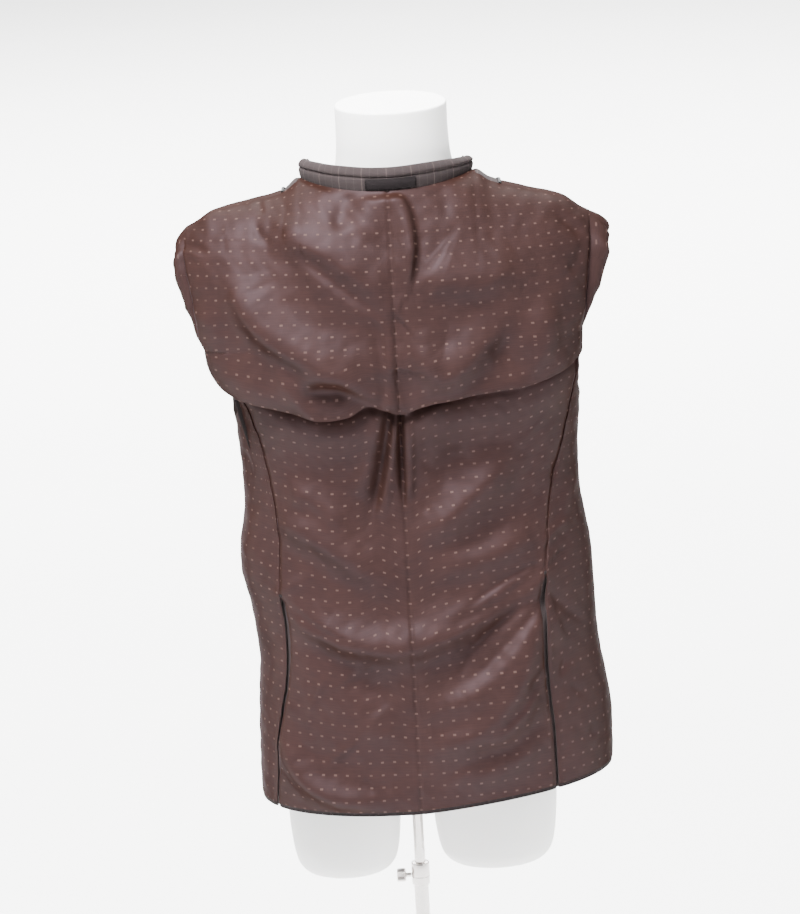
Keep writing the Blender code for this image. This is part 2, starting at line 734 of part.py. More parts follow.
def neck_seam(turn):
    """The back neck seam. turn is -90 to 90 degrees, from the left shoulder to the right."""
    angle = np.radians(turn)
    bow = np.cos(angle) ** (2 * NECK_BOW)
    side = np.where(np.asarray(turn) < 0, SHOULDER["left"][0], SHOULDER["right"][0])
    x = CENTRE_X + NECK_HALF_WIDTH * np.sin(angle)
    y = SHOULDER_Y[0] - SHOULDER_GAP / 2 - NECK_BACK_DEPTH * bow
    z = side - (side - NECK_BACK_Z) * bow
    out = np.stack([np.sin(angle) / NECK_HALF_WIDTH, -np.cos(angle) / NECK_BACK_DEPTH, 0 * bow], -1)
    return np.stack([x, y, z], -1), out / np.linalg.norm(out, axis=-1, keepdims=True)


def front_neck_seam(side):
    """The neck seam on a front, from near the shoulder down along the roll line."""
    level = 2 - np.array(COLLAR_DROPS)
    angle = front_angle(side, roll_distance(level), level)
    points = body(angle, level)
    points[:, 0] -= side * 0.0006
    out = np.stack([np.full(len(level), side * 1.0), 0.35 + 0 * level, 0 * level], -1)
    return points, out / np.linalg.norm(out, axis=-1, keepdims=True)


def collar(finish):
    """The collar: the stand faces out and the fall is folded down inside it."""
    half = np.array(COLLAR_TURNS, float)
    turn = np.concatenate([-half[:0:-1], half])
    seam, out = neck_seam(turn)
    left, left_out = front_neck_seam(LEFT)
    right, right_out = front_neck_seam(RIGHT)
    seam = np.concatenate([left[::-1], seam, right])
    out = np.concatenate([left_out[::-1], out, right_out])
    ends = np.array(COLLAR_DROPS) / COLLAR_END
    tall = np.concatenate([1 - 0.6 * ends[::-1], np.ones(len(turn)), 1 - 0.6 * ends])
    rows = [
        seam - out * inward + np.array([0, 0, 1.0]) * (up * tall)[:, None]
        for inward, up in zip(COLLAR_PROFILE["in"], COLLAR_PROFILE["up"])
    ]
    grid = np.array(rows)
    normal = np.cross(np.gradient(grid, axis=1), np.gradient(grid, axis=0))
    normal /= np.linalg.norm(normal, axis=-1, keepdims=True)
    return wall("collar", grid, grid - normal * COLLAR_CLOTH, finish)


LABEL_SIZE = (0.054, 0.0130)
LABEL_MIDDLE = 0.009
LABEL_CLOTH = 0.0008
LABEL_LIFT = 0.0008


def label(finish):
    """The blank woven label on the stand, laid on the collar's own points and moved out."""
    half = LABEL_SIZE[0] / 2
    reach = np.linspace(LABEL_MIDDLE - half, LABEL_MIDDLE + half, 7)
    seam, out = neck_seam(np.degrees(np.arcsin((reach - CENTRE_X) / NECK_HALF_WIDTH)))
    rows = []
    for up in np.linspace(0.0012, LABEL_SIZE[1], 4):
        inward = np.interp(up, COLLAR_PROFILE["up"][:5], COLLAR_PROFILE["in"][:5])
        rows.append(seam + np.array([0, 0, up]) - out * inward)
    inner = np.array(rows) + out * LABEL_LIFT
    return wall("label", inner + out * LABEL_CLOTH, inner, finish)


# ---------------------------------------------------------------- turned pieces


def turned(name, profile, finish, place=(0, 0, 0), across=None, sides=32):
    """A closed shape turned about Z from (radius, height) points, then laid along another axis."""
    ring_angle = np.linspace(0, 2 * np.pi, sides, endpoint=False)
    points, faces, rings = [], [], []
    for radius, z in profile:
        if radius == 0:
            rings.append([len(points)])
            points.append((0, 0, z))
        else:
            rings.append(list(range(len(points), len(points) + sides)))
            points += [(radius * math.cos(a), radius * math.sin(a), z) for a in ring_angle]
    closed = rings + ([rings[0]] if len(rings[0]) > 1 else [])
    for low, high in zip(closed, closed[1:]):
        for k in range(sides):
            quad = [low[k % len(low)], low[(k + 1) % len(low)], high[(k + 1) % len(high)], high[k % len(high)]]
            faces.append(tuple(dict.fromkeys(quad)))
    points = np.array(points)
    if across == "x":
        points = points[:, [2, 1, 0]]
    if across == "y":
        points = points[:, [0, 2, 1]]
    return add_mesh(name, points + np.array(place), faces, finish)


BUTTON_RADIUS = 0.0100
BUTTON_THICK = 0.0034
BUTTON_HEIGHTS = {"button_top": 1.092, "button_low": 0.992}


def buttons(finish):
    """The two front buttons, on the shell side, between the fastened fronts and the form."""
    r, t = BUTTON_RADIUS, BUTTON_THICK
    for name, z in BUTTON_HEIGHTS.items():
        profile = [(0, 0), (r - 0.0012, 0), (r, 0.0012), (r, t - 0.0009), (r - 0.0009, t)]
        profile += [(r - 0.0026, t), (r - 0.0040, t - 0.0009), (0, t - 0.0009)]
        front = float(smooth(np.array(z), SECTIONS["z"], SECTIONS["front"]))
        inwards = [(radius, -height_) for radius, height_ in profile]
        y = front - UNDER_FRONT_INSET - CLOTH - 0.0012
        turned(name, inwards, finish, (CENTRE_X, y, z), "y", 20)


# ---------------------------------------------------------------- form and stand

# The torso's level sections: centre, half width, back and front reach.
FORM_SECTIONS = table(
    "z      centre half   back   front",
    (0.800, 0.000, 0.060, 0.050, 0.040),
    (0.812, 0.002, 0.118, 0.080, 0.068),
    (0.850, 0.003, 0.136, 0.095, 0.084),
    (0.910, 0.003, 0.138, 0.098, 0.088),
    (0.980, 0.003, 0.136, 0.092, 0.088),
    (1.060, 0.002, 0.131, 0.081, 0.088),
    (1.130, 0.002, 0.130, 0.077, 0.092),
    (1.200, 0.002, 0.140, 0.084, 0.098),
    (1.270, 0.003, 0.152, 0.096, 0.103),
    (1.330, 0.004, 0.162, 0.098, 0.100),
    (1.380, 0.005, 0.168, 0.092, 0.086),
    (1.412, 0.006, 0.163, 0.079, 0.069),
    (1.430, 0.008, 0.145, 0.068, 0.058),
    (1.443, 0.010, 0.120, 0.060, 0.053),
    (1.455, 0.012, 0.090, 0.056, 0.051),
    (1.470, 0.0135, 0.0700, 0.0540, 0.0520),
    (1.490, 0.0135, 0.0630, 0.0530, 0.0550),
    (1.520, 0.0135, 0.0605, 0.0530, 0.0580),
    (1.5525, 0.0135, 0.0605, 0.0530, 0.0590),
)
FORM_SIDES = 26
CAP_TILT = 0.080
STUMPS = {
    "stump_left": ((-0.081, 0.000), 0.063, 0.052, 0.683),
    "stump_right": ((0.088, 0.004), 0.070, 0.052, 0.684),
}
STUMP_TOP = 0.880

ROD_RADIUS = 0.0060
ROD_TOP = 0.850
ROD_FOOT = 0.330
TUBE_RADIUS = 0.0080
TUBE_BORE = 0.00608
TUBE_TOP = 0.684
CLAMP_Z = (0.664, 0.690)
CLAMP_RADIUS = 0.0102
BASE_RADIUS = 0.165
BASE_THICK = 0.007
SOCKET_GAP = 0.0005


def form_torso(finish):
    """The limbless torso with two thigh stubs, whole and smooth, bored for the rod."""
    turn = np.linspace(0, 2 * np.pi, FORM_SIDES, endpoint=False)
    rows = []
    for z, centre, half, back, front in zip(*(FORM_SECTIONS[k] for k in FORM_SECTIONS)):
        power = 2 / (2.25 - 0.25 * ease((z - 1.42) / 0.05))
        deep = np.where(np.cos(turn) > 0, back, front)
        x = centre + half * np.sign(np.sin(turn)) * np.abs(np.sin(turn)) ** power
        y = -deep * np.sign(np.cos(turn)) * np.abs(np.cos(turn)) ** power
        tilt = CAP_TILT * y * ease((z - 1.515) / 0.03)
        rows.append(np.stack([x, y, z + tilt], -1))
    points = np.concatenate(rows)
    faces = []
    for r in range(len(rows) - 1):
        for c in range(FORM_SIDES):
            nxt = (c + 1) % FORM_SIDES
            low, high = r * FORM_SIDES, (r + 1) * FORM_SIDES
            faces.append((low + c, low + nxt, high + nxt, high + c))
    faces.append(tuple(range(FORM_SIDES)))
    last = (len(rows) - 1) * FORM_SIDES
    faces.append(tuple(range(last, last + FORM_SIDES)))
    torso = add_mesh("form", points, faces, finish)
    for name, ((x, y), half, deep, foot) in STUMPS.items():
        stump = stump_mesh(name, x, y, half, deep, foot, finish)
        combine(torso, stump, "UNION")
    socket = turned(
        "socket", [(0, 0.7), (ROD_RADIUS + SOCKET_GAP, 0.7), (ROD_RADIUS + SOCKET_GAP, ROD_TOP + SOCKET_GAP),
                   (0, ROD_TOP + SOCKET_GAP)], finish, sides=24
    )
    combine(torso, socket, "DIFFERENCE")
    return torso


def stump_mesh(name, x, y, half, deep, foot, finish):
    """A thigh stub: a tapered oval with a rounded end."""
    turn = np.linspace(0, 2 * np.pi, 24, endpoint=False)
    profile = [(0.30, 0.0), (0.62, 0.0030), (0.80, 0.010), (0.90, 0.022), (0.97, 0.050), (1.0, 0.090)]
    profile.append((0.94, STUMP_TOP - foot))
    points, faces = [], []
    for scale, up in profile:
        points += [(x + half * scale * math.sin(a), y - deep * scale * math.cos(a), foot + up) for a in turn]
    for r in range(len(profile) - 1):
        for c in range(24):
            nxt = (c + 1) % 24
            faces.append((r * 24 + c, r * 24 + nxt, (r + 1) * 24 + nxt, (r + 1) * 24 + c))
    faces += [tuple(range(24)), tuple(range((len(profile) - 1) * 24, len(profile) * 24))]
    return add_mesh(name, points, faces, finish)


def combine(target, tool, operation):
    """Joins or cuts with a Boolean, and leaves the tool out of the part."""
    tool.hide_render = True
    tool.display_type = "WIRE"
    modifier = target.modifiers.new(tool.name, "BOOLEAN")
    modifier.operation = operation
    modifier.object = tool


def stand(metal):
    """The rod in the form, and the tube, clamp, screw and foot that it slides in."""
    r = ROD_RADIUS
    turned("rod", [(0, ROD_FOOT), (r - 0.001, ROD_FOOT), (r, ROD_FOOT + 0.001), (r, ROD_TOP), (0, ROD_TOP)],
           metal, sides=24)
    low = BASE_THICK + SEAM_GAP
    turned("tube", [(TUBE_BORE, low), (TUBE_RADIUS, low), (TUBE_RADIUS, TUBE_TOP), (TUBE_BORE, TUBE_TOP)],
           metal, sides=24)
    bore = TUBE_RADIUS + SEAM_GAP
    z0, z1 = CLAMP_Z
    lip = TUBE_TOP + SEAM_GAP
    profile = [(bore, z0), (CLAMP_RADIUS - 0.001, z0), (CLAMP_RADIUS, z0 + 0.001), (CLAMP_RADIUS, z1 - 0.003)]
    profile += [(CLAMP_RADIUS - 0.002, z1), (TUBE_BORE, z1), (TUBE_BORE, lip), (bore, lip)]
    turned("clamp", profile, metal, sides=24)
    shank = [(0, -0.0270), (0.0060, -0.0270), (0.0075, -0.0255), (0.0075, -0.0185), (0.0060, -0.0170)]
    shank += [(0.0026, -0.0165), (0.0026, -0.0106), (0, -0.0106)]
    turned("clamp_screw", shank, metal, (0, 0, (z0 + z1) / 2 - 0.002), "x", 16)
    hub = TUBE_RADIUS + SEAM_GAP
    top = BASE_THICK
    base = [(0, 0), (BASE_RADIUS - 0.001, 0), (BASE_RADIUS, 0.001), (BASE_RADIUS, top - 0.003)]
    base += [(BASE_RADIUS - 0.004, top), (0.0200, top), (0.0180, top + 0.018), (hub, top + 0.020), (hub, top), (0, top)]
    turned("base", base, metal, sides=40)


# ---------------------------------------------------------------- assembly


def main():
    for old in list(bpy.data.objects):
        bpy.data.objects.remove(old)
    lining = material("lining_satin", (0.085, 0.050, 0.046), 0.42)
    wool = material("wool", (0.120, 0.105, 0.105), 0.90)
    trim = material("dark_trim", (0.020, 0.018, 0.020), 0.70)
    skin = material("form_shell", (0.850, 0.840, 0.820), 0.45)
    steel = material("plated_steel", (0.620, 0.600, 0.580), 0.25, 1.0)
    horn = material("button_horn", (0.055, 0.040, 0.034), 0.35)
    for side in (LEFT, RIGHT):
        back_panel(side, lining)
        side_body(side, lining)
        front_panel(side, lining)
        facing(side, wool)
        lapel(side, wool)
        sleeve(side, lining)
        vent_flap(side, wool)
        piping(side, trim)
    collar(wool)
    label(trim)
    buttons(horn)
    form_torso(skin)
    stand(steel)


main()
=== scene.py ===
"""A sport coat turned inside out, lining outermost, on a limbless torso form with its stand.

Metres, +Z up, in the frame's own place. The coat's back faces -Y and the photograph is taken from
there. Left is the form's own left, at -X. The coat is one surface of two parameters, the angle round
it and the level up it, and every panel is a patch of that surface with a wall.
"""

import math

import bpy
import numpy as np
from mathutils import Euler, Matrix, Vector


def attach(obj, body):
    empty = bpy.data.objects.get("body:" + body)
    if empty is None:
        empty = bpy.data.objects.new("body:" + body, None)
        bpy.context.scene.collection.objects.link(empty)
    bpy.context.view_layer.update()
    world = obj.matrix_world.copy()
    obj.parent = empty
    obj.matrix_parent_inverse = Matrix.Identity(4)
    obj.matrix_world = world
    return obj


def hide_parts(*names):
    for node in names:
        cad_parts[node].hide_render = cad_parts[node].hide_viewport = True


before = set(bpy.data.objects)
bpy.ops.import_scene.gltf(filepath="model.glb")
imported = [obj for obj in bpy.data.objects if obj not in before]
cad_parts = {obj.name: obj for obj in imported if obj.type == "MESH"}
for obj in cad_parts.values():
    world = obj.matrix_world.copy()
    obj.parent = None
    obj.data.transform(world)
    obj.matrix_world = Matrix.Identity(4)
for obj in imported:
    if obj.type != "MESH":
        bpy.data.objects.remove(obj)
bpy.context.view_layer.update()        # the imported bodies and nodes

COAT_BODY, STAND_BODY = "dressed_form", "stand"
LEFT, RIGHT = -1, 1
SIDE_NAMES = {LEFT: "left", RIGHT: "right"}

# ---------------------------------------------------------------- camera
# A long lens behind the coat's back, above it and looking down, held a little askew.

AIM = Vector((0.0028, 0.0, 1.16))
CAMERA_BACK = 4.0
CAMERA_PITCH = math.radians(13.5)
CAMERA_ROLL = math.radians(-3.2)

lens = bpy.data.cameras.new("camera")
lens.lens = 147.3
lens.clip_end = 80
camera = bpy.data.objects.new("camera", lens)
camera.matrix_world = (
    Matrix.Translation(AIM + Vector((0, -CAMERA_BACK, CAMERA_BACK * math.tan(CAMERA_PITCH))))
    @ Euler((math.pi / 2 - CAMERA_PITCH, 0, 0)).to_matrix().to_4x4()
    @ Matrix.Rotation(CAMERA_ROLL, 4, "Z")
)
bpy.context.scene.collection.objects.link(camera)
bpy.context.scene.camera = camera

# ---------------------------------------------------------------- studio
# A wide pale floor in a white room, lit by a broad soft box high on the left and a fill on the right.

SOFT_BOXES = (
    ("key_light", (-1.2, -1.75, 5.4), 2.0, 1750),
    ("fill_light", (3.4, -2.8, 2.8), 2.6, 90),
    ("backdrop_light", (0.0, 8.0, 6.5), 9.0, 5000),
)
ROOM_LIGHT = 0.6

for name, place, width, power in SOFT_BOXES:
    glow = bpy.data.lights.new(name, "AREA")
    glow.shape = "DISK"
    glow.size = width
    glow.energy = power
    box = bpy.data.objects.new(name, glow)
    box.location = place
    aim = Vector((0, 8, 0)) if name.startswith("backdrop") else AIM
    box.rotation_euler = (aim - Vector(place)).to_track_quat("-Z", "Y").to_euler()
    bpy.context.scene.collection.objects.link(box)

room = bpy.data.worlds.new("white_room")
room.use_nodes = True
room.node_tree.nodes["Background"].inputs["Color"].default_value = (1.0, 0.995, 0.99, 1)
room.node_tree.nodes["Background"].inputs["Strength"].default_value = ROOM_LIGHT
bpy.context.scene.world = room


def finish_base(name, colour, roughness, **more):
    """A Principled finish. Returns the material, its nodes' maker, its link maker and its shader."""
    made = bpy.data.materials.new(name)
    made.use_nodes = True
    tree = made.node_tree
    shader = tree.nodes["Principled BSDF"]
    shader.inputs["Base Color"].default_value = (*colour, 1)
    shader.inputs["Roughness"].default_value = roughness
    for socket, value in more.items():
        shader.inputs[socket.replace("_", " ")].default_value = value

    def node(kind, **settings):
        new = tree.nodes.new("ShaderNode" + kind)
        for key, value in settings.items():
            if key in new.inputs:
                new.inputs[key].default_value = value
            else:
                setattr(new, key, value)
        return new

    return made, node, tree.links.new, shader


def mixed_colour(node, link, share, first, second):
    """A colour that goes from first to second with share, each a colour or a socket."""
    mix = node("Mix", data_type="RGBA")
    link(share, mix.inputs["Factor"])
    for socket, colour in ((mix.inputs[6], first), (mix.inputs[7], second)):
        if isinstance(colour, tuple):
            socket.default_value = (*colour, 1)
        else:
            link(colour, socket)
    return mix.outputs[2]


def ramped(node, link, value, low, high, out_low=0.0, out_high=1.0):
    """A value mapped smoothly from the span low..high to out_low..out_high."""
    ramp = node("MapRange", interpolation_type="SMOOTHSTEP")
    for key, number in (("From Min", low), ("From Max", high), ("To Min", out_low), ("To Max", out_high)):
        ramp.inputs[key].default_value = number
    link(value, ramp.inputs["Value"])
    return ramp.outputs["Result"]


def noise(node, link, coordinates, scale, detail=3.0, stretch=(1, 1, 1)):
    """Noise over object coordinates or a UV map, stretched along its axes."""
    mapping = node("Mapping")
    mapping.inputs["Scale"].default_value = stretch
    link(coordinates, mapping.inputs["Vector"])
    cloud = node("TexNoise", Scale=scale, Detail=detail)
    link(mapping.outputs["Vector"], cloud.inputs["Vector"])
    return cloud.outputs["Fac"]


def raised(node, link, shader, height, distance, strength=1.0, under=None):
    """A bump of that height in metres on the shader, over another bump if there is one."""
    bump = node("Bump", Strength=strength, Distance=distance)
    link(height, bump.inputs["Height"])
    if under is not None:
        link(under, bump.inputs["Normal"])
    link(bump.outputs["Normal"], shader.inputs["Normal"])
    return bump.outputs["Normal"]


FLOOR_GLOW = 0.85


def floor_finish():
    """Pale smooth paint with the faintest cloudiness."""
    made, node, link, shader = finish_base("pale_floor", (0.86, 0.86, 0.855), 0.85)
    where = node("TexCoord").outputs["Object"]
    cloud = ramped(node, link, noise(node, link, where, 0.9), 0.3, 0.7)
    colour = mixed_colour(node, link, cloud, (0.865, 0.865, 0.86), (0.885, 0.885, 0.88))
    link(colour, shader.inputs["Base Color"])
    shader.inputs["Emission Color"].default_value = (1.0, 1.0, 1.0, 1)
    shader.inputs["Emission Strength"].default_value = FLOOR_GLOW
    return made


def four_cornered(index):
    """The faces between neighbours in a grid of point numbers, rows by columns."""
    return np.stack([index[:-1, :-1], index[:-1, 1:], index[1:, 1:], index[1:, :-1]], -1)


def surface(name, points, finishes, body, closed=False, sharp=50):
    """A mesh from a grid of points, rows by columns. Where closed, both run round to their start."""
    index = np.arange(points[..., 0].size).reshape(points.shape[:2])
    if closed:
        index = np.pad(index, ((0, 1), (0, 1)), mode="wrap")
    faces = four_cornered(index).reshape(-1, 4)
    return mesh_piece(name, points.reshape(-1, 3), faces, finishes, body, sharp=sharp)


def mesh_piece(name, points, faces, finishes, body, parts=None, grain=None, sharp=50):
    """A named object at the origin from points and four-cornered faces, riding on a body.

    parts gives each face's finish by its number, and grain each point's place on the cloth in metres.
    """
    mesh = bpy.data.meshes.new(name)
    mesh.from_pydata(points.tolist(), [], faces.tolist())
    if grain is not None:
        layer = mesh.uv_layers.new(name="grain")
        layer.data.foreach_set("uv", grain.reshape(-1, 2)[faces.ravel()].ravel())
    for finish in finishes:
        mesh.materials.append(finish)
    if parts is not None:
        mesh.polygons.foreach_set("material_index", parts.astype(np.int32))
    mesh.shade_smooth()
    mesh.set_sharp_from_angle(angle=math.radians(sharp))
    made = bpy.data.objects.new(name, mesh)
    bpy.context.scene.collection.objects.link(made)
    if body:
        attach(made, body)
    return made


FLOOR_REACH, FLOOR_Z = 26.0, -0.0004
reach = FLOOR_REACH * np.linspace(0.0005, 1, 12)[:, None] ** 2
turn = np.linspace(0, 2 * np.pi, 64)[None, :]
floor_points = np.stack(np.broadcast_arrays(reach * np.cos(turn), reach * np.sin(turn), FLOOR_Z), -1)
floor = surface("floor", floor_points, [floor_finish()], None)

# ---------------------------------------------------------------- back panels
# Two halves of the back, cut from satin lining and joined by the centre seam. They hang from the
# shoulder seams, blouse over a fold across the middle, and swag between the two vents.

CLOTH = 0.0026
SEAM_DIP, SEAM_DIP_WIDTH = 0.0014, 0.0026
HEM_Z, HEM_RISE_RIGHT = 0.786, 0.019
CHEST_Z = 1.305
FOLD_Z = 1.229
FOLD_LEVEL = 0.8
CENTRE_X = 0.005
SQUARENESS = 2.35


def table(columns, *rows):
    """Rows of numbers that are read by the name of their column."""
    return {name: np.array([row[i] for row in rows], float) for i, name in enumerate(columns.split())}


# How far the coat reaches from the rod on each side, at each height.
SECTIONS = table(
    "z      left   right  back   front",
    (0.780, 0.172, 0.222, 0.120, 0.126),
    (0.870, 0.170, 0.223, 0.119, 0.126),
    (0.950, 0.166, 0.212, 0.116, 0.122),
    (1.000, 0.170, 0.210, 0.111, 0.117),
    (1.055, 0.178, 0.208, 0.105, 0.113),
    (1.120, 0.171, 0.199, 0.100, 0.111),
    (1.170, 0.172, 0.199, 0.100, 0.113),
    (1.235, 0.178, 0.205, 0.109, 0.119),
    (1.305, 0.202, 0.215, 0.120, 0.124),
)

# The fold across the back, by the angle round the coat: how far it has climbed, how far the cloth
# above it stands out, and how far that cloth laps down over it.
FOLD = table(
    "angle  rise    out     lap",
    (-180, 0.0300, 0.0000, 0.0000),
    (-105, 0.0300, 0.0000, 0.0000),
    (-86, 0.0290, 0.0000, 0.0000),
    (-66, 0.0265, 0.0028, 0.0028),
    (-51, 0.0225, 0.0074, 0.0066),
    (-31, 0.0145, 0.0130, 0.0105),
    (-21, 0.0105, 0.0165, 0.0130),
    (-13, 0.0125, 0.0160, 0.0125),
    (-7.5, 0.0190, 0.0120, 0.0090),
    (-3.5, 0.0130, 0.0095, 0.0080),
    (0.4, 0.0060, 0.0080, 0.0080),
    (4, 0.0150, 0.0130, 0.0100),
    (10, 0.0210, 0.0135, 0.0095),
    (21, 0.0255, 0.0105, 0.0080),
    (36.5, 0.0280, 0.0095, 0.0080),
    (54, 0.0410, 0.0120, 0.0100),
    (66, 0.0430, 0.0060, 0.0056),
    (78, 0.0430, 0.0000, 0.0000),
    (104, 0.0400, 0.0000, 0.0000),
    (180, 0.0350, 0.0000, 0.0000),
)

# The angles of the seams at each height: side body to back, and side body to front.
SEAMS = table(
    "z      back_left back_right front_left front_right",
    (0.780, 62, 41, 104, 86),
    (0.870, 57, 40, 101, 85),
    (0.950, 51, 40, 97, 86),
    (1.030, 47, 41, 92, 88),
    (1.090, 47, 47, 92, 92),
    (1.145, 51, 55, 95, 98),
    (1.190, 55, 63, 100, 104),
    (1.235, 60, 68, 107, 109),
    (1.305, 71, 72, 114, 114),
)

# The shoulder seam, by its distance from the centre line.
SHOULDER = table(
    "x      left   right",
    (0.0935, 1.480, 1.479),
    (0.112, 1.467, 1.468),
    (0.148, 1.458, 1.456),
    (0.188, 1.448, 1.444),
    (0.217, 1.433, 1.426),
)
SHOULDER_TIP = 0.217
SHOULDER_Y = (-0.018, -0.005)
NECK_HALF_WIDTH, NECK_BACK_DEPTH, NECK_BOW, NECK_BACK_Z = 0.0935, 0.065, 0.8, 1.470
NECK_FRONT_DEPTH, NECK_FRONT_DROP = 0.095, 0.070
TURN_AT_NECK, TURN_AT_SHOULDER = 50.0, 87.0
WIDENING = 2.2
ARM_SWELL = {LEFT: 0.011, RIGHT: 0.002}
VENT_TOP = {LEFT: 1.030, RIGHT: 1.041}
VENT_OPEN, VENT_AT_HEM, VENT_POINT = 0.0060, 0.0030, 0.008

